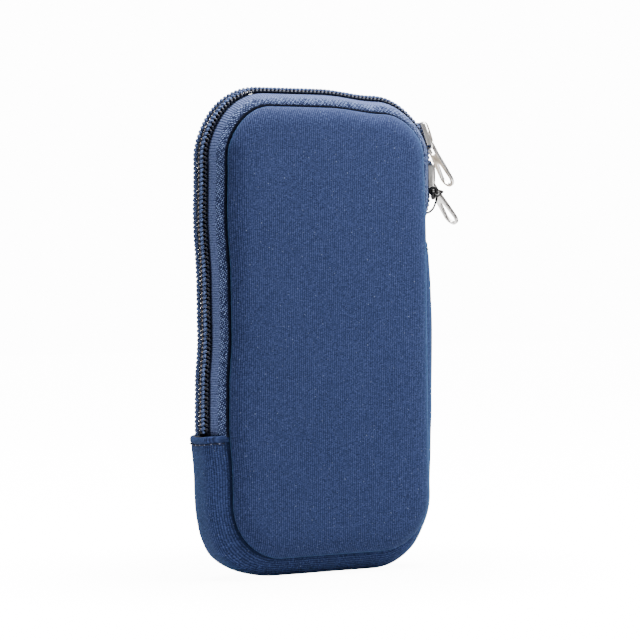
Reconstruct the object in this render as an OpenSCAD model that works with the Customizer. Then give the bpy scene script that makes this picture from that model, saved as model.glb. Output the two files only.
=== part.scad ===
// Soft padded phone pouch, closed by a zip with two sliders.
// The front faces -Y and the pouch stands on the flat crest of its bottom gusset, at Z = 0.
// Sections are drawn as points [u, w]: u is measured outwards from the panel seam, w from the
// middle of the pouch towards the front. A section is then swept round the seam's outline.

/* [Pouch] */
// Width of the pouch over the side gussets
pouch_w = 95.4; // [80:0.2:120]
// Height of the pouch over the gusset and the zip
pouch_h = 174.8; // [150:0.2:220]
// Distance from the middle of the pouch to each panel seam
seam_half_depth = 8.7; // [8:0.1:14]
// Radius of the seam at the two top corners
top_corner_r = 18; // [16:0.5:24]
// Radius of the seam at the two bottom corners
bottom_corner_r = 21; // [16:0.5:26]

/* [Neoprene] */
// Thickness of the knitted cover
cover_t = 0.6; // [0.4:0.1:1]
// Thickness of the foam core
foam_t = 2.4; // [1.5:0.1:3]
// Thickness of the lining
lining_t = 0.5; // [0.3:0.1:0.8]

/* [Panels] */
// Rise of a panel above its seam
panel_crown = 4.3; // [3.8:0.1:7]
// Width of the rounded rim of a panel
panel_rim = 8; // [6:0.5:10]
// Distance that the rim stands back from the seam
rim_inset = 0.6; // [0:0.1:1]

/* [Gusset and hems] */
// Distance from the seam to the flat crest of the gusset
gusset_out = 6.2; // [5.6:0.1:8]
// Distance from the seam to the crest before it is flattened
gusset_round = 7.4; // [7:0.1:10]
// Height at which the gusset ends and the zip begins on the left side
zip_left_z = 51; // [40:1:80]
// Height at which the gusset ends and the zip begins on the right side, under the sliders
zip_right_z = 120; // [90:1:121]
// Height of the folded hem band
hem_band = 2; // [1.5:0.1:4]
// Thickness of the hem on the gusset
hem_t = 0.8; // [0.4:0.1:1.2]
// Length of one hem stitch, as an angle of the gusset's section
stitch_angle = 9; // [4:1:12]
// Number of stitches across a hem
stitch_count = 7; // [5:1:9]

/* [Zip] */
// Distance from the seam to the face of the zip tape
tape_out = 4.4; // [4:0.1:5]
// Thickness of the zip tape
tape_t = 0.6; // [0.4:0.1:0.8]
// Width of one row of the coil
coil_w = 3; // [2.6:0.1:3.2]
// Height of the coil over the tape
coil_h = 1.7; // [1.4:0.1:1.8]
// Width of the seam allowance inside the pouch
seam_allowance = 3.5; // [2:0.1:4]

/* [Sliders] */
// Length of a slider body
slider_len = 10.5; // [9:0.5:12]
// Width of a slider body
slider_w = 9; // [8.8:0.1:10]
// Thickness of a slider plate
slider_plate = 1; // [0.8:0.1:1.2]
// Distance of the lower slider's middle below the centre of the top corner
lower_slider_drop = 5.8; // [5.4:0.2:12]
// Angle of the upper slider round the top corner
upper_slider_angle = 20; // [20:1:50]

/* [Pulls] */
// Distance from the pull's crossbar to the middle of its round end
pull_reach = 15; // [14:0.5:20]
// Width of the pull at its round end
pull_w = 7; // [6:0.5:8]
// Thickness of the pull
pull_t = 1.3; // [1:0.1:1.6]
// Angle of the lower pull out from the chain
lower_pull_angle = 36; // [30:1:38]
// Angle of the upper pull out from the vertical
upper_pull_angle = 31; // [29:1:34]

/* [Hidden] */
$fn = 64;

// Outline of the seam
seam_x = pouch_w / 2 - gusset_out;
seam_bottom = gusset_out;
seam_top = pouch_h - gusset_out;
top_x = seam_x - top_corner_r;
top_z = seam_top - top_corner_r;
lower_slider_z = top_z - lower_slider_drop;
bottom_x = seam_x - bottom_corner_r;
bottom_z = seam_bottom + bottom_corner_r;
wall_t = cover_t + foam_t + lining_t;
// Number of steps along a quarter-round or half-round section
arc_steps = 16;
// Gap on each side of the fold line of the front panel
fold_gap = 0.15;
// Height of the hem's folded cap over the end of the gusset
hem_cap = 0.6;
left_gusset_top = zip_left_z - hem_cap;
right_gusset_top = zip_right_z - hem_cap;
// Gap between the hems and the zip's front half
tape_end_gap = 0.3;
binding_t = 0.5;
gusset_allowance = 2.5;
// Height at which the upper and lower sweeps of a panel meet
panel_middle_z = pouch_h / 2;

// Zip sections
tape_round = 4.9;
tape_edge = 1.2;
coil_gap = 0.1;
coil_chamfer = 0.5;
coil_under = 0.5;
thread_w = 0.45;
thread_h = 0.4;
// Fold line of the front panel. It joins the two ends of the zip and leaves both on the moving part
fold_left = [-(seam_x - seam_allowance), zip_left_z];
fold_right = [seam_x + tape_out + coil_h, zip_right_z];
fold_angle = atan2(fold_right[1] - fold_left[1], fold_right[0] - fold_left[0]);
// Number of the gusset's steps that the hem wraps, and the angle that they reach from the crest
hem_steps = 10;
hem_reach = hem_steps * 90 / arc_steps;
stitch_w = 0.4;
stitch_h = 0.3;
stitch_lift = 0.1;
stitch_drop = 0.9;

// Slider
plate_in = 1.5;
plate_out = 6.35;
slider_shoulder_r = 2.25;
slider_shoulder_s = 3;
flange_in = 4.7;
flange_t = 0.8;
flange_w = slider_w / 2 - flange_t;
wedge_r = 0.9;
wedge_s = 3.9;
wedge_clear = 0.35;
bridge_w = 2;
bridge_half = 5;
bridge_bar = 0.9;
bridge_h = 3;
bridge_r = 2;
pivot_s = 3.4;
pivot_rise = 1.05;
pivot_u = plate_out + slider_plate + pivot_rise;

// Pull
pin_r = 0.6;
window_half = 1.45;
leg_t = 0.9;
window_len = 3.8;
hole_r = 2.1;
hole_narrow_r = 1.1;
hole_len = 5;

// Knotted cord on the lower slider. Its points are [u, s, w] in the slider's frame, where s is
// measured along the chain towards the nose
cord_r = 0.3;
cord_sides = 8;
knot_r = 1.7;
knot_at = [7.3, -7.5, 4.6];
loop_path = [
    [7.6, -7.9, 4.6],
    [8.1, -8.8, 4.7],
    [7.9, -10.6, 4.1],
    [7.4, -12.6, 3.3],
    [7.0, -13.9, 1.4],
    [6.9, -14.1, -0.6],
    [7.1, -12.4, -2.6],
    [7.7, -9.6, -3.6],
    [9.1, -6.8, -3.6],
    [11.2, -5.8, -2.9],
    [12.1, -5.8, -0.9],
    [12.2, -6.1, 1.2],
    [11.8, -6.5, 3.1],
    [9.7, -7.4, 4.0],
    [8.0, -7.5, 4.5]
];

// Points of a quarter-round section, flattened where it passes the limit
function rounding(cu, cw, a, b, from, to, limit, steps = arc_steps) = [
    for (i = [0 : steps])
        let (t = from + (to - from) * i / steps)
        [min(cu + a * cos(t), limit), cw + b * sin(t)]
];
function reversed(list) = [for (i = [len(list) - 1 : -1 : 0]) list[i]];

// One face of a panel section, a distance below the outer surface
function panel_face(depth) = rounding(
    -panel_rim, seam_half_depth, panel_rim - rim_inset - depth, panel_crown - depth,
    0, 90, pouch_w
);
// One face of the gusset section, and the part of it that a hem wraps
function gusset_face(depth, reach = 90, steps = arc_steps) = rounding(
    0, 0, gusset_round - depth, seam_half_depth - depth, -reach, reach, gusset_out - depth, steps
);
function hem_face(depth) = gusset_face(depth, hem_reach, hem_steps);
// One face of the tape section
function tape_face(depth) = rounding(
    0, 0, tape_round - depth, seam_half_depth - depth,
    asin(tape_edge / (seam_half_depth - depth)), 90, tape_out - depth
);

module panel_section(from, to)
    polygon(concat(panel_face(from), reversed(panel_face(to))));

module gusset_section(from, to) {
    w_from = seam_half_depth - from;
    w_to = seam_half_depth - to;
    polygon(concat(
        [[-gusset_allowance, -w_from]], gusset_face(from), [[-gusset_allowance, w_from]],
        [[-gusset_allowance, w_to]], reversed(gusset_face(to)), [[-gusset_allowance, -w_to]]
    ));
}

module tape_section()
    polygon(concat(
        tape_face(0), [[-seam_allowance, seam_half_depth]],
        [[-seam_allowance, seam_half_depth - tape_t]], reversed(tape_face(tape_t))
    ));

module coil_section() {
    top = tape_out + coil_h;
    polygon([
        [tape_out - coil_under, coil_gap],
        [top - coil_chamfer, coil_gap],
        [top, coil_gap + coil_chamfer],
        [top, coil_w - coil_chamfer],
        [top - coil_chamfer, coil_gap + coil_w],
        [tape_out, coil_gap + coil_w],
        [tape_out, tape_edge],
        [tape_out - coil_under, tape_edge]
    ]);
}

module thread_section()
    translate([tape_out, coil_gap + coil_w])
        square([thread_h, thread_w]);

module binding_section(w_face, run)
    translate([-run, w_face - binding_t])
        square([run, binding_t]);

// Hem over the gusset: a band on its face, and a cap that covers its end
module hem_band_section()
    polygon(concat(hem_face(-hem_t), reversed(hem_face(0))));

module hem_cap_section()
    polygon(concat(hem_face(-hem_t), reversed(hem_face(wall_t))));

// A straight stretch of a swept section: it starts at a point and its outer side has a facing
module run_straight(at, facing, length)
    translate([at[0], at[1], 0])
        rotate([0, 0, facing])
            rotate([90, 0, 0])
                linear_extrude(length)
                    children();

// A quarter turn of a swept section about a corner centre
module run_corner(at, from, radius)
    translate([at[0], at[1], 0])
        rotate([0, 0, from])
            rotate_extrude(angle = 90)
                translate([radius, 0])
                    children();

// The section swept over the top, from a height on the left to a height on the right
module sweep_over_top(left_z, right_z) {
    run_straight([seam_x, top_z], 0, top_z - right_z) children();
    run_corner([top_x, top_z], 0, top_corner_r) children();
    run_straight([-top_x, seam_top], 90, 2 * top_x) children();
    run_corner([-top_x, top_z], 90, top_corner_r) children();
    run_straight([-seam_x, left_z], 180, top_z - left_z) children();
}

// The section swept under the bottom, from a height on the left to a height on the right
module sweep_under_bottom(left_z, right_z) {
    run_straight([seam_x, right_z], 0, right_z - bottom_z) children();
    run_corner([bottom_x, bottom_z], 270, bottom_corner_r) children();
    run_straight([bottom_x, seam_bottom], 270, 2 * bottom_x) children();
    run_corner([-bottom_x, bottom_z], 180, bottom_corner_r) children();
    run_straight([-seam_x, bottom_z], 180, left_z - bottom_z) children();
}

// Turns the drawing plane upright: its second axis becomes Z and its third faces the front
module upright() rotate([90, 0, 0]) children();
module mirror_to_back() mirror([0, 0, 1]) children();

// Middle of a panel inside its rim
module panel_field() {
    translate([-(seam_x - panel_rim), bottom_z])
        square([2 * (seam_x - panel_rim), top_z - bottom_z]);
    translate([-top_x, top_z])
        square([2 * top_x, top_corner_r - panel_rim]);
    translate([-bottom_x, seam_bottom + panel_rim])
        square([2 * bottom_x, bottom_corner_r - panel_rim]);
    for (side = [-1, 1]) {
        translate([side * top_x, top_z])
            circle(top_corner_r - panel_rim);
        translate([side * bottom_x, bottom_z])
            circle(bottom_corner_r - panel_rim);
    }
}

// One layer of a panel: its rim and its middle, from one depth to another
module panel_layer(from, to) {
    sweep_over_top(panel_middle_z, panel_middle_z) panel_section(from, to);
    sweep_under_bottom(panel_middle_z, panel_middle_z) panel_section(from, to);
    translate([0, 0, seam_half_depth + panel_crown - to])
        linear_extrude(to - from)
            panel_field();
}

// All the room on one side of the fold line: above it (1) or below it (-1)
module fold_room(side)
    translate([fold_left[0], fold_left[1], 0])
        rotate([0, 0, fold_angle])
            translate([-pouch_h, side > 0 ? fold_gap : -fold_gap - 2 * pouch_h, 0])
                cube([3 * pouch_h, 2 * pouch_h, pouch_w]);

module back_layer(from, to)
    upright()
        mirror_to_back()
            panel_layer(from, to);

module front_layer(from, to)
    upright()
        intersection() {
            panel_layer(from, to);
            fold_room(1);
        }

module lower_front_layer(from, to)
    upright()
        intersection() {
            panel_layer(from, to);
            fold_room(-1);
        }

module gusset_layer(from, to)
    upright()
        sweep_under_bottom(left_gusset_top, right_gusset_top)
            gusset_section(from, to);

// Back panel
module back_cover() color("midnightblue") back_layer(0, cover_t);
module back_foam() color("dimgray") back_layer(cover_t, cover_t + foam_t);
module back_lining() color("black") back_layer(cover_t + foam_t, wall_t);

// Front panel, in one piece with the strip below the fold
module front_cover() color("steelblue") front_layer(0, cover_t);
module front_foam() color("dimgray") front_layer(cover_t, cover_t + foam_t);
module front_lining() color("black") front_layer(cover_t + foam_t, wall_t);
module lower_front_cover() color("steelblue") lower_front_layer(0, cover_t);
module lower_front_foam() color("dimgray") lower_front_layer(cover_t, cover_t + foam_t);
module lower_front_lining() color("black") lower_front_layer(cover_t + foam_t, wall_t);

// Bottom gusset
module gusset_cover() color("midnightblue") gusset_layer(0, cover_t);
module gusset_foam() color("dimgray") gusset_layer(cover_t, cover_t + foam_t);
module gusset_lining() color("black") gusset_layer(cover_t + foam_t, wall_t);

module gusset_binding()
    color("black")
        upright()
            for (back = [0, 1])
                mirror([0, 0, back])
                    sweep_under_bottom(left_gusset_top, right_gusset_top)
                        binding_section(seam_half_depth - wall_t, gusset_allowance);

// A hem on the side that faces 0 (right) or 180 (left), on the gusset's end
module hem(facing, gusset_top) {
    side = cos(facing);
    cap_top = side > 0 ? gusset_top + hem_cap : gusset_top;
    band_top = side > 0 ? gusset_top : gusset_top - hem_band;
    run_straight([side * seam_x, cap_top], facing, hem_cap) hem_cap_section();
    run_straight([side * seam_x, band_top], facing, hem_band) hem_band_section();
}

module hem_stitches(facing, gusset_top) {
    side = cos(facing);
    stitch_z = gusset_top - hem_band - stitch_drop;
    pitch = 2 * hem_reach / stitch_count;
    for (i = [0 : stitch_count - 1]) {
        from = -hem_reach + (i + 0.5) * pitch - stitch_angle / 2;
        angles = [for (t = [0 : stitch_angle / 3 : stitch_angle]) from + t];
        run_straight([side * seam_x, stitch_z - side * stitch_w / 2], facing, stitch_w)
            polygon(concat(
                [for (t = angles) gusset_point(t, stitch_lift)],
                [for (t = reversed(angles)) gusset_point(t, stitch_h)]
            ));
    }
}
function gusset_point(t, rise) = [
    min((gusset_round + rise) * cos(t), gusset_out + rise),
    (seam_half_depth + rise) * sin(t)
];

module left_hem() color("midnightblue") upright() hem(180, left_gusset_top);
module right_hem() color("midnightblue") upright() hem(0, right_gusset_top);
module left_hem_stitches()
    color("lightsteelblue") upright() hem_stitches(180, left_gusset_top);
module right_hem_stitches()
    color("lightsteelblue") upright() hem_stitches(0, right_gusset_top);

// Zip: two tapes, two rows of coil and the threads that hold them
module sweep_back_half() mirror_to_back() sweep_over_top(zip_left_z, zip_right_z) children();
module sweep_front_half()
    sweep_over_top(zip_left_z + tape_end_gap, zip_right_z + tape_end_gap)
        children();
module zip_half_back() upright() sweep_back_half() children();
module zip_half_front() upright() sweep_front_half() children();

module back_tape() color("slategray") zip_half_back() tape_section();
module front_tape() color("slategray") zip_half_front() tape_section();
module back_coil_thread() color("navy") zip_half_back() thread_section();
module front_coil_thread() color("navy") zip_half_front() thread_section();
module back_binding()
    color("black")
        zip_half_back()
            binding_section(seam_half_depth - tape_t, seam_allowance);
module front_binding()
    color("black")
        zip_half_front()
            binding_section(seam_half_depth - tape_t, seam_allowance);

// The two rows part round the wedge of each slider
module wedge_room()
    translate([0, wedge_s, 0])
        rotate([0, 90, 0])
            cylinder(r = wedge_r + wedge_clear, h = plate_out);

module coil_row(front) {
    difference() {
        if (front)
            sweep_front_half() coil_section();
        else
            sweep_back_half() coil_section();
        at_lower_slider() wedge_room();
        at_upper_slider() wedge_room();
    }
}
module back_coil() color("black") upright() coil_row(false);
module front_coil() color("black") upright() coil_row(true);

// Frame of a slider: its first axis points out of the pouch and its second to the slider's nose
module at_lower_slider()
    translate([seam_x, lower_slider_z, 0])
        children();
module at_upper_slider()
    translate([top_x, top_z, 0])
        rotate([0, 0, upper_slider_angle])
            translate([top_corner_r, 0, 0])
                mirror([0, 1, 0])
                    children();

module slider_outline() {
    tail = slider_len / 2;
    half = slider_w / 2;
    translate([-tail, -half])
        square([tail + slider_shoulder_s, slider_w]);
    for (side = [-1, 1])
        translate([slider_shoulder_s, side * (half - slider_shoulder_r)])
            circle(slider_shoulder_r);
}

// Lays an outline drawn as [s, w] on a plate at a height over the seam
module plate_at(u, thickness)
    translate([u, 0, 0])
        rotate([90, 0, 90])
            linear_extrude(thickness)
                children();

module bridge_outline() {
    top = bridge_h;
    difference() {
        union() {
            translate([-bridge_half, 0])
                square([2 * bridge_half, top - bridge_r]);
            translate([-bridge_half + bridge_r, 0])
                square([2 * (bridge_half - bridge_r), top]);
            for (end = [-1, 1])
                translate([end * (bridge_half - bridge_r), top - bridge_r])
                    circle(bridge_r);
        }
        translate([-bridge_half + bridge_bar, -bridge_bar])
            square([2 * (bridge_half - bridge_bar), top]);
        translate([-bridge_half, -bridge_h])
            square([2 * bridge_half, bridge_h]);
    }
}

module slider() {
    plate_at(plate_out, slider_plate) slider_outline();
    plate_at(plate_in, slider_plate) slider_outline();
    for (side = [-1, 1])
        translate([flange_in, -slider_len / 2, side * (flange_w + flange_t / 2) - flange_t / 2])
            cube([plate_out - flange_in, slider_len / 2 + slider_shoulder_s, flange_t]);
    translate([plate_in, wedge_s, 0])
        rotate([0, 90, 0])
            cylinder(r = wedge_r, h = plate_out - plate_in);
    translate([plate_out + slider_plate, 0, -bridge_w / 2])
        linear_extrude(bridge_w)
            mirror([1, -1])
                bridge_outline();
}

module upper_slider() color("silver") upright() at_upper_slider() slider();
module lower_slider() color("silver") upright() at_lower_slider() slider();

// A pull, drawn from its crossbar: the first axis is along the pull, the third across it
module pull_outline() {
    neck = window_half + leg_t;
    difference() {
        union() {
            polygon([
                [0, -neck], [window_len, -neck], [pull_reach, -pull_w / 2],
                [pull_reach, pull_w / 2], [window_len, neck], [0, neck]
            ]);
            translate([pull_reach, 0])
                circle(pull_w / 2);
        }
        translate([-pin_r, -window_half])
            square([pin_r + window_len, 2 * window_half]);
        translate([pull_reach, 0])
            circle(hole_r);
        polygon([
            [pull_reach - hole_len, -hole_narrow_r], [pull_reach, -hole_r],
            [pull_reach, hole_r], [pull_reach - hole_len, hole_narrow_r]
        ]);
        translate([pull_reach - hole_len, 0])
            circle(hole_narrow_r);
    }
}

module pull() {
    neck = window_half + leg_t;
    translate([0, pull_t / 2, 0])
        rotate([90, 0, 0])
            linear_extrude(pull_t)
                pull_outline();
    translate([0, 0, -neck])
        cylinder(r = pin_r, h = 2 * neck);
}

// A pull hangs from a pivot at an angle out from the vertical
module hang(pivot, angle)
    translate([pivot[0], pivot[1], 0])
        rotate([0, 0, angle - 90])
            children();

upper_pivot_r = top_corner_r + pivot_u;
upper_pivot = [
    top_x + upper_pivot_r * cos(upper_slider_angle) + pivot_s * sin(upper_slider_angle),
    top_z + upper_pivot_r * sin(upper_slider_angle) - pivot_s * cos(upper_slider_angle)
];
lower_pivot = [seam_x + pivot_u, lower_slider_z - pivot_s];

module upper_pull() color("silver") upright() hang(upper_pivot, upper_pull_angle) pull();
module lower_pull() color("silver") upright() hang(lower_pivot, lower_pull_angle) pull();

// Knotted cord on the lower slider
module tie_knot() color("black") upright() at_lower_slider() translate(knot_at) sphere(knot_r);

module rod(from, to) {
    d = to - from;
    length = norm(d);
    translate(from)
        rotate([0, acos(d[2] / length), atan2(d[1], d[0])])
            cylinder(r = cord_r, h = length, $fn = cord_sides);
}
module tie_loop()
    color("black")
        upright()
            at_lower_slider()
                for (i = [0 : len(loop_path) - 2]) {
                    rod(loop_path[i], loop_path[i + 1]);
                    translate(loop_path[i]) sphere(cord_r, $fn = cord_sides);
                }

back_cover();
back_foam();
back_lining();
back_tape();
back_coil();
back_coil_thread();
back_binding();
gusset_cover();
gusset_foam();
gusset_lining();
gusset_binding();
left_hem();
right_hem();
left_hem_stitches();
right_hem_stitches();
lower_front_cover();
lower_front_foam();
lower_front_lining();
front_cover();
front_foam();
front_lining();
front_tape();
front_coil();
front_coil_thread();
front_binding();
upper_slider();
lower_slider();
upper_pull();
lower_pull();
tie_knot();
tie_loop();
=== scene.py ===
# %% [markdown]
# A padded phone pouch, dressed for its picture.
# The solids of the pouch are loaded as a fixed frame. Every soft part is then sewn again as a
# finer mesh in the same place, and the metal of the zip gets its rounded edges.

# %% Load the frame
import math

import bmesh
import bpy
from mathutils import Matrix, Vector, noise


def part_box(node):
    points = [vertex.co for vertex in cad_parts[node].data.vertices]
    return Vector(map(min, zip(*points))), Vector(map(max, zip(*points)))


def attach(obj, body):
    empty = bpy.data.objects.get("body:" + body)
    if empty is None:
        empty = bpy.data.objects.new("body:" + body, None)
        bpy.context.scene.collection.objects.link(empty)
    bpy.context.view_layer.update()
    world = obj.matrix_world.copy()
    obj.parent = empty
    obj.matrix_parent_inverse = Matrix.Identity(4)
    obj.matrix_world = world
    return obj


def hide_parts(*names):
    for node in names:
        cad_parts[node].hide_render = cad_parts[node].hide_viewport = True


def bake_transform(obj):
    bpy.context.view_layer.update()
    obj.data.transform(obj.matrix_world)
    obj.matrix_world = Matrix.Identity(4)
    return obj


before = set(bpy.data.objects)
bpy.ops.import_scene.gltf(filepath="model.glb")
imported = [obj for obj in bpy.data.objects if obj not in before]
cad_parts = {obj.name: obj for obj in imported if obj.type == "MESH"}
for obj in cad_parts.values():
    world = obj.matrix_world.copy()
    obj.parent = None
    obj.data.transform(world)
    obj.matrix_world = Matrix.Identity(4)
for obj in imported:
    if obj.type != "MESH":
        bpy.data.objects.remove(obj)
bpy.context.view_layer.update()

MM = 0.001
SEED = 7
noise.seed_set(SEED)

# %% [markdown]
# The pouch has one outline that everything follows: the seam where a panel meets the zip tape or
# the gusset. It is a tall rectangle with round corners, a little rounder at the bottom. Its sides
# are read from the solids, so the cloth can't drift away from them.

# %% Outline of the seam
binding_low, binding_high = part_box("gusset_binding")
tape_binding_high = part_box("back_binding")[1]
SEAM_X = binding_high[0]
SEAM_BOTTOM = binding_low[2]
SEAM_TOP = tape_binding_high[2]
TOP_R = 18 * MM
BOTTOM_R = 21 * MM
TOP_X, TOP_Z = SEAM_X - TOP_R, SEAM_TOP - TOP_R
BOTTOM_X, BOTTOM_Z = SEAM_X - BOTTOM_R, SEAM_BOTTOM + BOTTOM_R
SEAM_ALLOWANCE = 3.5 * MM
# Heights at which the zip and the gusset end, on the left (-1) and on the right (1)
ZIP_END = {-1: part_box("back_coil")[0][2], 1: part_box("right_hem")[1][2]}
GUSSET_TOP = {-1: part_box("left_hem")[1][2], 1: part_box("gusset_cover")[1][2]}
PANEL_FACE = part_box("back_cover")[1][1]
print("seam half width %.4f, from %.4f to %.4f" % (SEAM_X, SEAM_BOTTOM, SEAM_TOP))

# %% [markdown]
# The camera comes first, because cords are judged by what it sees. It stands almost level, to the
# left of the front, nearly a metre away with a long lens, as for a product picture.

# %% Camera
CAMERA_AZIMUTH = math.radians(-30.6)
CAMERA_ELEVATION = math.radians(1.0)
CAMERA_ROLL = math.radians(0.77)
CAMERA_DISTANCE = 0.944
FOCAL_PIXELS = 2600
PICTURE_PIXELS = 640
SHIFT_PIXELS = (-3, 12)
SENSOR_MM = 36
CLIP_NEAR, CLIP_FAR = 0.05, 20
AIM = Vector((0, 0, 0.0872))


def add_camera():
    back = Vector((
        math.sin(CAMERA_AZIMUTH) * math.cos(CAMERA_ELEVATION),
        -math.cos(CAMERA_AZIMUTH) * math.cos(CAMERA_ELEVATION),
        math.sin(CAMERA_ELEVATION),
    ))
    right = Vector((math.cos(CAMERA_AZIMUTH), math.sin(CAMERA_AZIMUTH), 0))
    up = back.cross(right)
    turned_right = math.cos(CAMERA_ROLL) * right - math.sin(CAMERA_ROLL) * up
    turned_up = math.sin(CAMERA_ROLL) * right + math.cos(CAMERA_ROLL) * up
    data = bpy.data.cameras.new("camera")
    data.sensor_width = SENSOR_MM
    data.lens = FOCAL_PIXELS * SENSOR_MM / PICTURE_PIXELS
    data.shift_x = -SHIFT_PIXELS[0] / PICTURE_PIXELS
    data.shift_y = SHIFT_PIXELS[1] / PICTURE_PIXELS
    data.clip_start = CLIP_NEAR
    data.clip_end = CLIP_FAR
    camera = bpy.data.objects.new("camera", data)
    bpy.context.scene.collection.objects.link(camera)
    turn = Matrix((turned_right, turned_up, back)).transposed()
    camera.matrix_world = Matrix.Translation(AIM + back * CAMERA_DISTANCE) @ turn.to_4x4()
    bpy.context.scene.camera = camera
    print("camera: %.0f mm lens, %.2f m away" % (data.lens, CAMERA_DISTANCE))


add_camera()

# %% [markdown]
# Each part of the pouch becomes one object. Most ride on one of the six bodies, so that they move
# with that body's joint, and the front's pieces ride on none. The solids that a part stands for are
# hidden. Shapes are worked on as a bmesh, Blender's mesh for editing, which can be moved and cut
# freely and is turned into a mesh at the end.

# %% Pieces
def add_piece(name, mesh, body, replaced=(), slot=None):
    """Links a mesh as an object that rides on a body and may stand for some of the solids."""
    piece = bpy.data.objects.new(name, mesh)
    bpy.context.scene.collection.objects.link(piece)
    if body:
        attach(piece, body)
    if replaced:
        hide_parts(*replaced)
    return piece


def mesh_from(bm, name, smooth=True):
    mesh = bpy.data.meshes.new(name)
    bm.to_mesh(mesh)
    bm.free()
    for polygon in mesh.polygons:
        polygon.use_smooth = smooth
    return mesh


# %% [markdown]
# A finish is a small net of nodes that ends in one Principled shader. Written out in full, such a
# net is mostly wiring. So the nodes that cloth, nylon and metal share get short calls here, and each
# input is given either as a plain value or as the socket that feeds it.

# %% Materials
def add_node(tree, kind, inputs=None, **settings):
    """Adds a node. Each input is a value, or the socket that feeds it."""
    node = tree.nodes.new(kind)
    for key, value in settings.items():
        setattr(node, key, value)
    for key, value in (inputs or {}).items():
        if isinstance(value, bpy.types.NodeSocket):
            tree.links.new(value, node.inputs[key])
        else:
            node.inputs[key].default_value = value
    return node


class Nodes:
    """A material's node tree, with short calls to add and join its nodes."""

    def __init__(self, name):
        self.material = bpy.data.materials.new(name)
        self.material.use_nodes = True
        self.tree = self.material.node_tree
        self.shader = self.tree.nodes["Principled BSDF"]

    def add(self, kind, inputs=None, **settings):
        return add_node(self.tree, kind, inputs, **settings)

    def math(self, operation, a, b=0.0, c=0.0):
        return self.add("ShaderNodeMath", {0: a, 1: b, 2: c}, operation=operation).outputs[0]

    def noise(self, vector, scale, detail=2.0, roughness=0.5):
        inputs = {"Vector": vector, "Scale": scale, "Detail": detail, "Roughness": roughness}
        return self.add("ShaderNodeTexNoise", inputs).outputs["Fac"]

    def map_range(self, value, low, high, start=0.0, end=1.0, kind="LINEAR"):
        """Turns values from low to high into values from start to end, and stops there."""
        inputs = {0: value, 1: low, 2: high, 3: start, 4: end}
        return self.add("ShaderNodeMapRange", inputs, interpolation_type=kind).outputs[0]

    def clamp(self, value):
        return self.add("ShaderNodeClamp", {0: value}).outputs[0]

    def vary(self, tone, cause, share, middle=0.5):
        """Makes a tone paler where a cause lies above its middle, and darker where it lies below."""
        return self.math("MULTIPLY_ADD", self.math("SUBTRACT", cause, middle), share, tone)

    def by_chance(self, column, row):
        """A value from 0 to 1 that is drawn anew for every cell of a grid."""
        cell = self.add("ShaderNodeCombineXYZ", {0: column, 1: self.math("FLOOR", row)}).outputs[0]
        return self.add("ShaderNodeTexWhiteNoise", {"Vector": cell}).outputs["Value"]

    def mix(self, factor, a, b):
        """Mixes two colours, which are inputs 6 and 7 of this node and come out at its output 2."""
        node = self.add("ShaderNodeMix", {"Factor": factor}, data_type="RGBA")
        for socket, value in ((node.inputs[6], a), (node.inputs[7], b)):
            if isinstance(value, bpy.types.NodeSocket):
                self.tree.links.new(value, socket)
            else:
                socket.default_value = (*value, 1)
        return node.outputs[2]

    def bump(self, height, distance, strength=1.0):
        inputs = {"Height": height, "Distance": distance, "Strength": strength}
        return self.add("ShaderNodeBump", inputs).outputs["Normal"]

    def attribute(self, name):
        """A value that the piece's own points carry."""
        return self.add("ShaderNodeAttribute", attribute_name=name).outputs["Fac"]

    def object_coordinates(self):
        return self.add("ShaderNodeTexCoord").outputs["Object"]

    def cloth_coordinates(self):
        return self.add("ShaderNodeUVMap", uv_map="cloth").outputs["UV"]

    def split(self, vector):
        return self.add("ShaderNodeSeparateXYZ", {0: vector}).outputs

    def finish(self, **shader):
        """Sets the shader's inputs and hands over the material."""
        for key, value in shader.items():
            socket = self.shader.inputs[key.replace("_", " ")]
            if isinstance(value, bpy.types.NodeSocket):
                self.tree.links.new(value, socket)
            elif isinstance(value, tuple) and len(value) == 3:
                socket.default_value = (*value, 1)
            else:
                socket.default_value = value
        return self.material


# %% [markdown]
# Jersey knit shows as upright rows of small slanted stitches, the wales, less than a millimetre
# apart. The stitches sit half a step higher in every other wale. The dye takes unevenly, so single
# stitches are paler or darker than their neighbours: that is the heathered look of the cover.
# Real loops would need millions of faces, so the stitches are drawn by nodes and only raised by a
# bump. The pattern reads the piece's own cloth map, whose unit is one metre of flat cloth, and so
# it follows the cloth round the rims. Where the cloth carries a "crease", it is in the seam's shadow.

# %% Size of the stitches
WALE = 0.8 * MM
COURSE = 0.7 * MM
WALE_WOBBLE = 0.4 * MM
YARN_RELIEF = 0.09 * MM
# Scales of the noises, from the broadest pattern to the finest
CLOUD_SCALE, WOBBLE_SCALE, SPECK_SCALE, GRAIN_SCALE, FUZZ_SCALE = 45, 140, 1500, 1900, 3200
# How much each cause makes the yarn paler or darker
STITCH_SHADE, STITCH_DARKEST = 1.3, -0.20
WALE_SHADE, DYE_SHADE, FUZZ_SHADE, CLOUD_SHADE = 0.9, 0.3, 0.8, 0.12
MIDDLE_TONE = 0.34
SPECK_SHARE = 0.45
print("knit: %.1f by %.1f mm a stitch" % (WALE / MM, COURSE / MM))


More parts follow.
